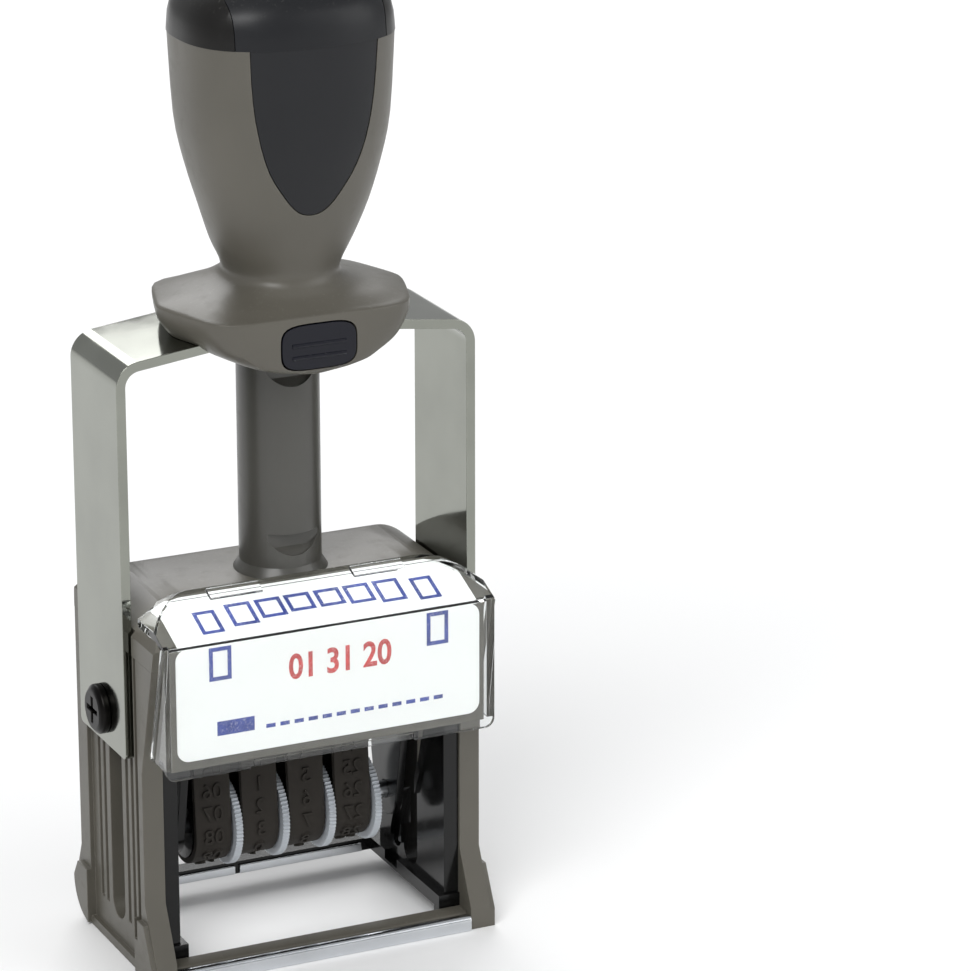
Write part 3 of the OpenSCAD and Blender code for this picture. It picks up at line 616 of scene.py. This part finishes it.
@dataclass(frozen=True)
class ClearPlastic(Finish):
    """Clear moulded plastic that lets the light through to what is behind it."""

    def make(self) -> bpy.types.Material:
        """Builds the material."""
        material, w, shader, place = self.begin()
        shader.inputs["Transmission Weight"].default_value = 1.0
        shader.inputs["IOR"].default_value = 1.46
        skin = w.group(Effects.moulded(), Vector=place, Grain=500.0, Patch=90.0)
        rough = w.span(skin.outputs["Rub"], 0, 1, self.rough, self.rough + 0.03)
        w.tree.links.new(rough, shader.inputs["Roughness"])
        self.bump(w, shader, skin.outputs["Height"], 0.002)
        path = w.node("ShaderNodeLightPath")
        clear = w.fed("ShaderNodeBsdfTransparent", {"Color": (0.96, 0.97, 0.97, 1)})
        both = w.fed("ShaderNodeMixShader", {0: path.outputs["Is Shadow Ray"],
                                             1: shader.outputs[0], 2: clear.outputs[0]})
        end = next(n for n in w.tree.nodes if n.type == "OUTPUT_MATERIAL")
        w.tree.links.new(both.outputs[0], end.inputs["Surface"])
        return material


@dataclass(frozen=True)
class Paper(Finish):
    """Smooth white card with faint fibres."""

    def make(self) -> bpy.types.Material:
        """Builds the material."""
        material, w, shader, place = self.begin()
        colour = paint(self.colour)
        skin = w.group(Effects.moulded(), Vector=place, Grain=3800.0, Patch=45.0)
        w.tree.links.new(w.mix(skin.outputs["Tone"], shade(colour, 0.985), shade(colour, 1.0)),
                         shader.inputs["Base Color"])
        w.tree.links.new(w.span(skin.outputs["Rub"], 0, 1, self.rough, self.rough + 0.1),
                         shader.inputs["Roughness"])
        self.bump(w, shader, skin.outputs["Height"], 0.008)
        return material


@dataclass(frozen=True)
class StampedInk(Finish):
    """Ink pressed on card by a stamp, thin in places."""

    def make(self) -> bpy.types.Material:
        """Builds the material."""
        material, w, shader, place = self.begin()
        colour = paint(self.colour)
        skin = w.group(Effects.moulded(), Vector=place, Grain=2600.0, Patch=420.0)
        base = w.mix(skin.outputs["Tone"], shade(colour, 0.82), shade(colour, 1.25))
        thin = w.times(skin.outputs["Rub"], 0.55)
        w.tree.links.new(w.mix(thin, base, (0.75, 0.74, 0.76, 1)), shader.inputs["Base Color"])
        w.tree.links.new(w.span(skin.outputs["Height"], 0, 1, self.rough - 0.1, self.rough + 0.1),
                         shader.inputs["Roughness"])
        self.bump(w, shader, skin.outputs["Height"], 0.006)
        return material


@dataclass(frozen=True)
class InkedFelt(Finish):
    """Felt soaked in ink: short fibres, dark and wet in patches."""

    def make(self) -> bpy.types.Material:
        """Builds the material."""
        material, w, shader, place = self.begin()
        colour = paint(self.colour)
        shader.inputs["Sheen Weight"].default_value = 0.25
        fibres = w.fed("ShaderNodeTexVoronoi", {"Vector": place, "Scale": 2600.0})
        skin = w.group(Effects.moulded(), Vector=place, Grain=6000.0, Patch=140.0)
        base = w.mix(fibres.outputs["Distance"], shade(colour, 0.6), shade(colour, 1.5))
        w.tree.links.new(w.mix(skin.outputs["Tone"], base, shade(colour, 0.5)),
                         shader.inputs["Base Color"])
        w.tree.links.new(w.span(skin.outputs["Tone"], 0, 1, self.rough, 0.45),
                         shader.inputs["Roughness"])
        self.bump(w, shader, fibres.outputs["Distance"], 0.12)
        return material


@dataclass(frozen=True)
class Rubber(Finish):
    """Dark rubber, a little powdery."""

    def make(self) -> bpy.types.Material:
        """Builds the material."""
        material, w, shader, place = self.begin()
        colour = paint(self.colour)
        skin = w.group(Effects.moulded(), Vector=place, Grain=3200.0, Patch=110.0)
        wear_and_highlight = w.group(Effects.wear_and_highlight(), Vector=place, Break=1500.0)
        base = w.mix(skin.outputs["Tone"], shade(colour, 0.8), shade(colour, 1.2))
        # Edges lightened: rubbed wear, and a painted edge highlight.
        base = w.mix(w.times(wear_and_highlight.outputs["Mask"], 0.3), base, shade(colour, 2.2))
        w.tree.links.new(base, shader.inputs["Base Color"])
        w.tree.links.new(w.span(skin.outputs["Rub"], 0, 1, self.rough, self.rough - 0.14),
                         shader.inputs["Roughness"])
        self.bump(w, shader, skin.outputs["Height"], 0.01)
        return material


TAUPE = MouldedPlastic("taupe_plastic", "56534b", 0.44)
COLUMN_TAUPE = MouldedPlastic("column_plastic", "484743", 0.36, wear_and_highlight_share=0.2)
GLOSS_BLACK = MouldedPlastic("gloss_black_plastic", "0b0b0b", 0.2, depth=0.003, wear_and_highlight_share=0.25, shine=0.35)
TRAY_BLACK = MouldedPlastic("tray_black_plastic", "1b1b1c", 0.42)
CAP_BLACK = MouldedPlastic("cap_black_plastic", "151413", 0.34, wear_and_highlight_share=0.2, shine=0.3)
SATIN = MouldedPlastic("satin_black_plastic", "1a1b1e", 0.42, depth=0.008, wear_and_highlight_share=0.25, shine=0.3)
NAVY = MouldedPlastic("button_navy_plastic", "0f101a", 0.26, wear_and_highlight_share=0.3, shine=0.3)
PALE_GREY = MouldedPlastic("wheel_grey_plastic", "b9bec4", 0.42, grain=3600.0, wear_and_highlight_share=0.2)
# Bail plating darker and tinted grey-green: a painted reflection of a grey-green surround that the pale
# studio lacks.
BAIL_CHROME_PAINTED_REFLECTION = PlatedSteel("bail_plating_painted_reflection", "90928a", 0.06)
BRIGHT = PlatedSteel("trim_plating", "d5d8dc", 0.14)
STEEL = PlatedSteel("zinc_steel", "b9bcbf", 0.26)
BLACKED = PlatedSteel("blacked_steel", "1d1c1b", 0.3)
CLEAR = ClearPlastic("clear_plastic", "fafcfc", 0.02)
CARD = Paper("white_card", "f6f6f4", 0.5)
BLUE_INK = StampedInk("blue_ink", "2d3f8f", 0.5)
RED_INK = StampedInk("red_ink", "c23c3a", 0.5)
FELT = InkedFelt("inked_felt", "1e2a55", 0.85)
DIE_RUBBER = Rubber("die_rubber", "3a2f2b", 0.7)
BAND_RUBBER = Rubber("band_rubber", "120d0c", 0.62)

SLOTS: dict[str, Finish] = {
    "taupe": TAUPE, "column_taupe": COLUMN_TAUPE, "carrier": TAUPE, "gloss_black": GLOSS_BLACK,
    "tray_black": TRAY_BLACK, "cap_black": CAP_BLACK, "shield_satin": SATIN, "button_navy": NAVY,
    "bail_chrome": BAIL_CHROME_PAINTED_REFLECTION, "chrome_trim": BRIGHT, "screw_steel": STEEL, "screw_black": BLACKED,
    "spring_steel": STEEL, "clear": CLEAR, "card": CARD, "ink_felt": FELT,
    "text_rubber": DIE_RUBBER, "band_rubber": BAND_RUBBER, "wheel_grey": PALE_GREY}


def dress(piece: bpy.types.Object, finish: Finish) -> bpy.types.Object:
    """Gives a piece one finish and takes off any other."""
    piece.data.materials.clear()
    piece.data.materials.append(finish.get())
    return piece


def fit(piece: bpy.types.Object, body: str, slot: str, *nodes: str,
        finish: Finish | None = None) -> bpy.types.Object:
    """Dresses a piece, hangs it on its body and says what it stands for.

    Args:
        piece: the finished piece.
        body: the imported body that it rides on.
        slot: the material slot that it takes its finish from.
        nodes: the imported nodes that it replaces.
        finish: a finish other than the slot's own.

    Returns:
        The piece.
    """
    dress(piece, finish or SLOTS[slot])
    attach(piece, body)
    if nodes:
        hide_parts(*nodes)
    LOG.info("%s rides on %s, %d faces", piece.name, body, len(piece.data.polygons))
    return piece


def slot_of(node: str) -> str:
    """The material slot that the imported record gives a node."""
    for part in frame["record"]["subparts"]:
        if part["node"] == node:
            return part["material_slot"]
    raise KeyError(node)


def body_of(node: str) -> str:
    """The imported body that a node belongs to."""
    for body, members in frame["record"]["behaviour"]["bodies"].items():
        if node in members:
            return body
    raise KeyError(node)


def eased(node: str, width: float = 0.3, segments: int = 2, angle: float = 28) -> bpy.types.Object:
    """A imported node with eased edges, dressed and fitted in its place.

    Args:
        node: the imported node's name.
        width: width of the easing in millimetres.
        segments: steps in the easing.
        angle: edges sharper than this, in degrees, are eased.

    Returns:
        The finished piece.
    """
    piece = Bench.ease(Bench.copy_of(node), width, segments, angle)
    return fit(piece, body_of(node), slot_of(node), node)


# ---------- sub-assemblies ----------


@dataclass
class Housing:
    """The taupe housing, its black inner plates, base frame and trims."""

    edges: dict[str, float] = field(default_factory=lambda: {
        "side_frame_left": 0.35, "side_frame_right": 0.35, "top_cover": 0.35, "rear_panel": 0.3,
        "card_carrier": 0.2, "cam_plate_left": 0.15, "cam_plate_right": 0.15,
        "base_frame": 0.2, "front_sill": 0.15, "front_trim": 0.25, "rear_trims": 0.15,
        "base_screws": 0.08, "column": 0.15, "column_screws": 0.08})

    def build(self) -> None:
        """Eases every piece of the housing."""
        for node, width in self.edges.items():
            eased(node, width)


def extent(node: str) -> tuple[Vector, Vector]:
    """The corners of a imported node's box, in millimetres."""
    low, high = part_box(node)
    return low / MM, high / MM


@dataclass(frozen=True)
class Spot:
    """A place on a surface: where it is, which way is up on it and which way it faces."""

    origin: Vector
    up: Vector
    facing: Vector

    def place(self, right: float = 0.0, up: float = 0.0) -> Matrix:
        """The matrix that lays a flat mesh on the surface.

        Args:
            right: shift along X in millimetres.
            up: shift up the surface in millimetres.

        Returns:
            A matrix that turns local X, Y, Z into X, up and facing.
        """
        at = self.origin + Vector((right, 0, 0)) + self.up * up
        turn = Matrix((Vector((1, 0, 0)), self.up, self.facing)).transposed().to_4x4()
        return Matrix.Translation(at * MM) @ turn


class Marks:
    """Thin raised marks: digits, bars and open blocks."""

    @staticmethod
    def laid(obj: bpy.types.Object, spot: Matrix) -> bpy.types.Object:
        """Lays a mesh on its spot and moves the place into the mesh."""
        obj.matrix_world = spot @ obj.matrix_world
        return Bench.settle(obj)

    @staticmethod
    def digits(name: str, text: str, high: float, thick: float, spot: Matrix,
               mirrored: bool = False, bold: float = 0.012) -> bpy.types.Object:
        """A short row of digits as a closed raised mesh.

        Args:
            name: the new object's name.
            text: digits and spaces.
            high: height of a digit in millimetres.
            thick: how far they stand out in millimetres.
            spot: where the row's middle lies.
            mirrored: True where the digits print the right way round.
            bold: how far the strokes grow, as a share of the height.

        Returns:
            The mesh.
        """
        bpy.ops.object.text_add()
        words = bpy.context.object
        words.data.body = text
        words.data.align_x = words.data.align_y = "CENTER"
        words.data.size = high * 1.4 * MM
        words.data.extrude = thick / 2 * MM
        words.data.offset = bold * high * MM
        words.data.resolution_u = 4
        bpy.ops.object.convert(target="MESH")
        obj = Bench.named(name)
        obj.scale.x = -1 if mirrored else 0.86
        Bench.settle(obj)
        with Bench.editing(obj):
            bpy.ops.mesh.select_all(action="SELECT")
            bpy.ops.mesh.remove_doubles(threshold=0.002 * MM)
            bpy.ops.mesh.normals_make_consistent(inside=False)
        return Marks.laid(obj, spot)

    @staticmethod
    def open_block(name: str, wide: float, high: float, line: float, thick: float,
                   spot: Matrix) -> bpy.types.Object:
        """A rectangular frame: a plane that is inset, opened and extruded.

        Args:
            name: the new object's name.
            wide: its width in millimetres.
            high: its height in millimetres.
            line: width of its line in millimetres.
            thick: how far it stands out in millimetres.
            spot: where its middle lies.

        Returns:
            The frame.
        """
        bpy.ops.mesh.primitive_plane_add(size=1)
        obj = Bench.named(name)
        obj.scale = (wide * MM, high * MM, 1)
        Bench.settle(obj)
        with Bench.editing(obj):
            bpy.ops.mesh.select_all(action="SELECT")
            bpy.ops.mesh.inset(thickness=line * MM)
            bpy.ops.mesh.delete(type="FACE")
            bpy.ops.mesh.select_all(action="SELECT")
            bpy.ops.mesh.extrude_region_move(
                TRANSFORM_OT_translate={"value": (0, 0, thick * MM)})
            bpy.ops.mesh.select_all(action="SELECT")
            bpy.ops.mesh.normals_make_consistent(inside=False)
        return Marks.laid(obj, spot)

    @staticmethod
    def bar(name: str, wide: float, high: float, thick: float, spot: Matrix) -> bpy.types.Object:
        """A solid bar, wide, high and thick in millimetres, with its middle on the spot."""
        half = Vector((wide, high, thick)) / 2
        return Marks.laid(Bench.block(name, -half * MM, half * MM), spot)


@dataclass
class Card:
    """The index card: its front, the flap bent back over the brow, and its print."""

    brow_fall: float = 4.2
    brow_run: float = 10.7
    flap_half: float = 26.0
    flap_thick: float = 0.1
    shoulder_r: float = 15.0
    shoulder_w: float = 10.8
    flap_gap: float = 0.06
    ink: float = 0.04
    line: float = 0.65
    arch_x: tuple[float, ...] = (-12.9, -7.7, -2.6, 2.6, 7.7, 12.9)
    arch_wide: float = 4.4
    arch_high: float = 4.0
    arch_up: float = 5.6
    bow: float = 0.004
    end_x: float = 18.9
    end_wide: float = 3.8
    end_high: tuple[float, float] = (5.4, 5.6)
    end_up: tuple[float, float] = (4.2, -7.4)
    short: tuple[float, float] = (6.4, 2.4)
    short_at: tuple[float, float] = (-16.4, -18.4)
    dash: tuple[float, float] = (1.6, 0.65)
    dash_at: tuple[float, float] = (-10.4, -19.3)
    dash_step: float = 2.45
    dashes: int = 13
    date_row: str = "01 31 20"
    date_high: float = 4.2
    date_at: tuple[float, float] = (1.8, -10.2)

    def __post_init__(self) -> None:
        """Takes the card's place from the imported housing."""
        card, cover = extent("index_card"), extent("top_cover")
        self.front_y = card[0].y
        self.half = cover[1].x
        self.top = cover[1].z
        self.brow = Vector((0, cover[0].y, self.top - self.brow_fall))
        self.tilt = math.atan2(self.brow_fall, self.brow_run)

    def cover_z(self, x: float, y: float) -> float:
        """Height of the housing under the flap.

        Args:
            x: place across, in millimetres.
            y: place from front to back, in millimetres.

        Returns:
            The height in millimetres.
        """
        slope = self.brow.z + (y - self.brow.y) * math.tan(self.tilt)
        out = max(0.0, abs(x) - (self.half - self.shoulder_w))
        arch = self.top - self.shoulder_r + math.sqrt(self.shoulder_r ** 2 - out ** 2)
        return min(slope, arch)

    def roof(self, above: float) -> Spot:
        """The sloping brow.

        Args:
            above: how far it is raised, in millimetres.

        Returns:
            The spot at the brow's front edge.
        """
        up = Vector((0, math.cos(self.tilt), math.sin(self.tilt)))
        out = Vector((0, -math.sin(self.tilt), math.cos(self.tilt)))
        return Spot(self.brow + out * above, up, out)

    def flap(self) -> None:
        """The thin flap that follows the housing's sloping brow."""
        bpy.ops.mesh.primitive_grid_add(x_subdivisions=46, y_subdivisions=12, size=1)
        obj = Bench.named("card_flap")
        start, end = self.brow.y - 0.5, self.brow.y + self.brow_run - 0.5
        for vertex in obj.data.vertices:
            x, y = vertex.co.x * 2 * self.flap_half, start + (vertex.co.y + 0.5) * (end - start)
            vertex.co = mm(x, y, self.cover_z(x, y) + self.flap_gap)
        Bench.apply(obj, "SOLIDIFY", thickness=self.flap_thick * MM, offset=1.0)
        fit(Bench.smooth(obj), "housing", "card")

    def build(self) -> None:
        """Builds the front, the flap and the print on both."""
        eased("index_card", 0.05)
        self.flap()
        face = Spot(Vector((0, self.front_y - self.ink / 2, self.top)), Vector((0, 0, 1)),
                    Vector((0, -1, 0)))
        roof = self.roof(self.flap_thick + self.flap_gap + 0.01)
        blue = [Marks.open_block("arch_mark", self.arch_wide, self.arch_high + 2 * self.bow * x * x,
                                 self.line, self.ink, roof.place(x, self.arch_up - self.bow * x * x))
                for x in self.arch_x]
        for side in (-1, 1):
            for spot, high, up in zip((roof, face), self.end_high, self.end_up):
                blue.append(Marks.open_block("end_mark", self.end_wide, high, self.line, self.ink,
                                             spot.place(side * self.end_x, up)))
        blue.append(Marks.bar("short_mark", *self.short, self.ink, face.place(*self.short_at)))
        first, row = self.dash_at
        blue += [Marks.bar("dash_mark", *self.dash, self.ink, face.place(first + self.dash_step * k, row))
                 for k in range(self.dashes)]
        fit(Bench.joined("card_blue_print", blue), "housing", "card", finish=BLUE_INK)
        date = Marks.digits("card_date_print", self.date_row, self.date_high, self.ink,
                            face.place(*self.date_at), bold=0.03)
        fit(date, "housing", "card", finish=RED_INK)


@dataclass
class Window:
    """The clear cover over the card, with raised tabs along its rear edge."""

    card: Card
    edge: float = 0.3
    wall: float = 1.37
    tab: tuple[float, float, float] = (9.0, 2.4, 1.1)
    tab_x: float = 12.5
    tab_up: float = 9.6

    def build(self) -> None:
        """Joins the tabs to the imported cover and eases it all."""
        obj = Bench.copy_of("window")
        roof = self.card.roof(self.wall)
        for side in (-1, 1):
            tab = Marks.bar("tab", *self.tab, roof.place(side * self.tab_x, self.tab_up))
            Bench.cut(obj, tab, Way.JOIN)
        fit(Bench.ease(Bench.clean(obj), self.edge, 3), "window_cover", "clear", "window")


@dataclass
class Drawer:
    """The sliding pad drawer and the ink pad in it."""

    crown: float = 0.45
    waist: float = 0.18
    cuts: int = 14

    def pad(self) -> None:
        """A crowned felt pad, flat against the drawer and swollen towards the die."""
        low, high = extent("ink_pad")
        obj = Bench.block("ink_pad_felt", low * MM, high * MM)
        with Bench.editing(obj):
            bpy.ops.mesh.select_all(action="SELECT")
            bpy.ops.mesh.subdivide(number_cuts=self.cuts)
        middle, half = (low + high) / 2, (high - low) / 2
        for vertex in obj.data.vertices:
            at = vertex.co / MM
            u, v, w = ((at - middle)[k] / half[k] for k in range(3))
            edge = (1 - abs(u) ** 6) * (1 - abs(v) ** 6)
            at.z += self.crown * (1 - edge) * (1 - w) / 2
            if abs(u) > 0.99:
                at.x -= math.copysign(self.waist * (1 - v * v), u)
            if abs(v) > 0.99:
                at.y -= math.copysign(self.waist * (1 - u * u), v)
            vertex.co = at * MM
        Bench.ease(obj, 0.35, 3, 50)
        fit(obj, "pad_drawer", "ink_felt", "ink_pad")

    def build(self) -> None:
        """Builds the drawer and its pad."""
        eased("pad_tray", 0.3)
        self.pad()


@dataclass
class Handle:
    """The bail, its pivot screws, the grip with its shield and cap, and the lock button."""

    edges: dict[str, float] = field(default_factory=lambda: {
        "grip": 0.25, "grip_cap": 0.3, "shield_insert": 0.12, "bail_screws": 0.1,
        "button_spring": 0.05, "lock_button": 0.45, "latch_plate": 0.1})
    dome: float = 0.7
    recess: float = 0.7
    recess_half: float = 1.5
    recess_wide: float = 0.55

    def screws(self) -> None:
        """The blacked pivot screws, domed and with a cross recess in each head."""
        obj = Bench.copy_of("pivot_screws")
        low, high = extent("pivot_screws")
        y, z = (low.y + high.y) / 2, (low.z + high.z) / 2
        half, thin = self.recess_half, self.recess_wide / 2
        Bench.ease(obj, self.dome, 5, 40)
        for x in (low.x, high.x):
            for a, b in ((half, thin), (thin, half)):
                Bench.cut(obj, Bench.block("recess", mm(x - self.recess, y - a, z - b),
                                           mm(x + self.recess, y + a, z + b)))
        fit(Bench.smooth(obj), "press_handle", "screw_black", "pivot_screws")

    def build(self) -> None:
        """Builds the whole handle."""
        fit(Bench.ease(Bench.copy_of("bail"), 0.35, 3, 40), "press_handle", "bail_chrome", "bail")
        self.screws()
        for node, width in self.edges.items():
            eased(node, width)


@dataclass
class Platen:
    """The turning platen: plates, die, setting wheels and numbered bands."""

    edges: dict[str, float] = field(default_factory=lambda: {
        "platen_plate_left": 0.15, "platen_plate_right": 0.15, "die_plate": 0.15,
        "text_rubber": 0.1, "band_bridge": 0.1, "wheel_axle": 0.1, "follower_pins": 0.1})
    wheels: int = 4
    nose_y: float = 1.8
    nose_r: float = 2.2
    drum_r: float = 5.4
    rim: float = 1.3
    bore: float = 1.56
    step: float = 3.9
    digit_high: float = 2.6
    relief: float = 0.3
    rows: tuple[tuple[str, ...], ...] = (
        ("01", "02", "03", "04", "05", "06", "07", "08", "09", "10", "11", "12"),
        ("0", "1", "2", "3", "0", "1", "2", "3", "0", "1", "2", "3"),
        ("0", "1", "2", "3", "4", "5", "6", "7", "8", "9", "0", "1"),
        ("20", "21", "22", "23", "24", "25", "26", "27", "28", "29", "30", "31"))

    def loop(self, low: Vector, high: Vector) -> list[tuple[Vector, Vector]]:
        """Evenly spaced places round the outside of a band, from its nose down its front.

        Args:
            low: lowest corner of the band's box in millimetres.
            high: highest corner.

        Returns:
            For each place its point and the way that it faces.
        """
        drum = (high.y - low.y) / 2
        middle = Vector((0, (low.y + high.y) / 2, low.z + drum))
        nose = Vector((0, middle.y - self.nose_y, high.z - self.nose_r))
        along = (nose - middle).normalized()
        lean = (drum - self.nose_r) / (nose - middle).length
        across = Vector((0, -along.z, along.y))
        facing = along * lean + across * math.sqrt(1 - lean * lean)
        top, foot = nose + facing * self.nose_r, middle + facing * drum
        run = (top - foot).length
        count = int(run / self.step)
        spots = [(top + (foot - top) * ((k + 0.5) * self.step / run), facing) for k in range(count)]
        start = math.atan2(facing.z, facing.y)
        turn = self.step / drum
        for k in range(len(self.rows[0]) - count):
            angle = start + (k + 0.5) * turn + ((count * self.step - run) / drum)
            out = Vector((0, math.cos(angle), math.sin(angle)))
            spots.append((middle + out * drum, out))
        return spots

    def band(self, number: int) -> None:
        """A rubber band with raised digits that read the right way round in print.

        Args:
            number: which band, from 1 at the left.
        """
        node = f"date_band_{number}"
        low, high = extent(node)
        x = (low.x + high.x) / 2
        pieces = [Bench.ease(Bench.copy_of(node), 0.1)]
        for text, (point, facing) in zip(self.rows[number - 1], self.loop(low, high)):
            up = facing.cross(Vector((1, 0, 0)))
            spot = Spot(point, up, facing).place(x, 0)
            pieces.append(Marks.digits("band_digit", text, self.digit_high, 2 * self.relief, spot, True))
        fit(Bench.joined(f"band_{number}", pieces), "platen", "band_rubber", node)

    def wheel(self, number: int) -> None:
        """A setting wheel: a pale toothed rim on a dark drum.

        Args:
            number: which wheel, from 1 at the left.
        """
        node = f"date_wheel_{number}"
        low, high = extent(node)
        body = body_of(node)
        eased(node, 0.06)
        y, z = (low.y + high.y) / 2, (low.z + high.z) / 2
        start, end = mm(low.x - 0.04, y, z), mm(high.x - self.rim + 0.02, y, z)
        drum = Bench.rod(f"wheel_drum_{number}", start, end, (self.drum_r + 0.04) * MM, 64)
        Bench.cut(drum, Bench.rod("bore", start - mm(1, 0, 0), end + mm(1, 0, 0), self.bore * MM))
        fit(Bench.smooth(drum), body, "gloss_black")

    def build(self) -> None:
        """Builds the whole platen."""
        for node, width in self.edges.items():
            eased(node, width)
        for number in range(1, self.wheels + 1):
            self.band(number)
            self.wheel(number)


@dataclass
class Studio:
    """A pale floor, soft lights and the camera."""

    turn: float = 25.42
    rise: float = 18.55
    aim_right: float = 33.9
    aim_up: float = 76.08
    row_y: float = 2.35
    away: float = 750.0
    lens: float = 171.5

    def floor(self) -> None:
        """A wide pale floor."""
        bpy.ops.mesh.primitive_plane_add(size=6, location=(0, 0, 0))
        floor = Bench.named("studio_floor")
        material = bpy.data.materials.new("studio_floor")
        material.use_nodes = True
        w = Wiring(material.node_tree)
        shader = material.node_tree.nodes["Principled BSDF"]
        shader.inputs["Roughness"].default_value = 0.8
        place = w.node("ShaderNodeTexCoord").outputs["Object"]
        noise = w.fed("ShaderNodeTexNoise", {"Vector": place, "Scale": 3.0})
        w.tree.links.new(w.mix(noise.outputs["Fac"], (0.9, 0.9, 0.9, 1), (0.93, 0.93, 0.93, 1)),
                         shader.inputs["Base Color"])
        floor.data.materials.append(material)

    def light(self, name: str, place: Vector, size: float, power: float,
              aim: Vector = Vector((0, 0, 0.07))) -> None:
        """One square soft light.

        Args:
            name: its name.
            place: where it hangs.
            size: the length of its side in metres.
            power: its power in watts.
            aim: the point that it faces.
        """
        data = bpy.data.lights.new(name, "AREA")
        data.size = size
        data.energy = power
        lamp = bpy.data.objects.new(name, data)
        lamp.location = place
        lamp.rotation_euler = (aim - place).to_track_quat("-Z", "Y").to_euler()
        bpy.context.scene.collection.objects.link(lamp)

    def world(self) -> None:
        """An even pale surround."""
        world = bpy.data.worlds.new("studio_air")
        world.use_nodes = True
        world.node_tree.nodes["Background"].inputs["Color"].default_value = (0.9, 0.91, 0.92, 1)
        world.node_tree.nodes["Background"].inputs["Strength"].default_value = 0.5
        bpy.context.scene.world = world

    def camera(self) -> None:
        """The camera, on a long lens from the left front and above."""
        turn, rise = math.radians(self.turn), math.radians(self.rise)
        back = Vector((-math.sin(turn) * math.cos(rise), -math.cos(turn) * math.cos(rise),
                       math.sin(rise)))
        side = Vector((math.cos(turn), -math.sin(turn), 0))
        aim = side * self.aim_right + Vector((0, self.row_y, self.aim_up))
        data = bpy.data.cameras.new("main_camera")
        data.lens = self.lens
        data.sensor_width = 36
        data.clip_end = 50
        camera = bpy.data.objects.new("main_camera", data)
        camera.location = (aim + back * self.away) * MM
        camera.rotation_euler = (-back).to_track_quat("-Z", "Y").to_euler()
        bpy.context.scene.collection.objects.link(camera)
        bpy.context.scene.camera = camera

    def build(self) -> None:
        """Sets up the whole studio."""
        bpy.context.scene.view_settings.view_transform = "Standard"
        self.floor()
        self.world()
        self.light("key", Vector((-0.9, -0.9, 1.3)), 0.9, 17)
        self.light("fill", Vector((1.2, -1.0, 0.7)), 1.2, 8)
        self.light("back", Vector((0.3, 1.2, 1.1)), 1.0, 12)
        self.camera()


def main() -> None:
    """Builds every sub-assembly in order."""
    logging.basicConfig(level=logging.INFO, format="%(name)s: %(message)s")
    Studio().build()
    card = Card()
    for assembly in (Housing(), card, Window(card), Drawer(), Handle(), Platen()):
        assembly.build()
        LOG.info("%s is done", type(assembly).__name__)


if __name__ == "__main__":
    main()
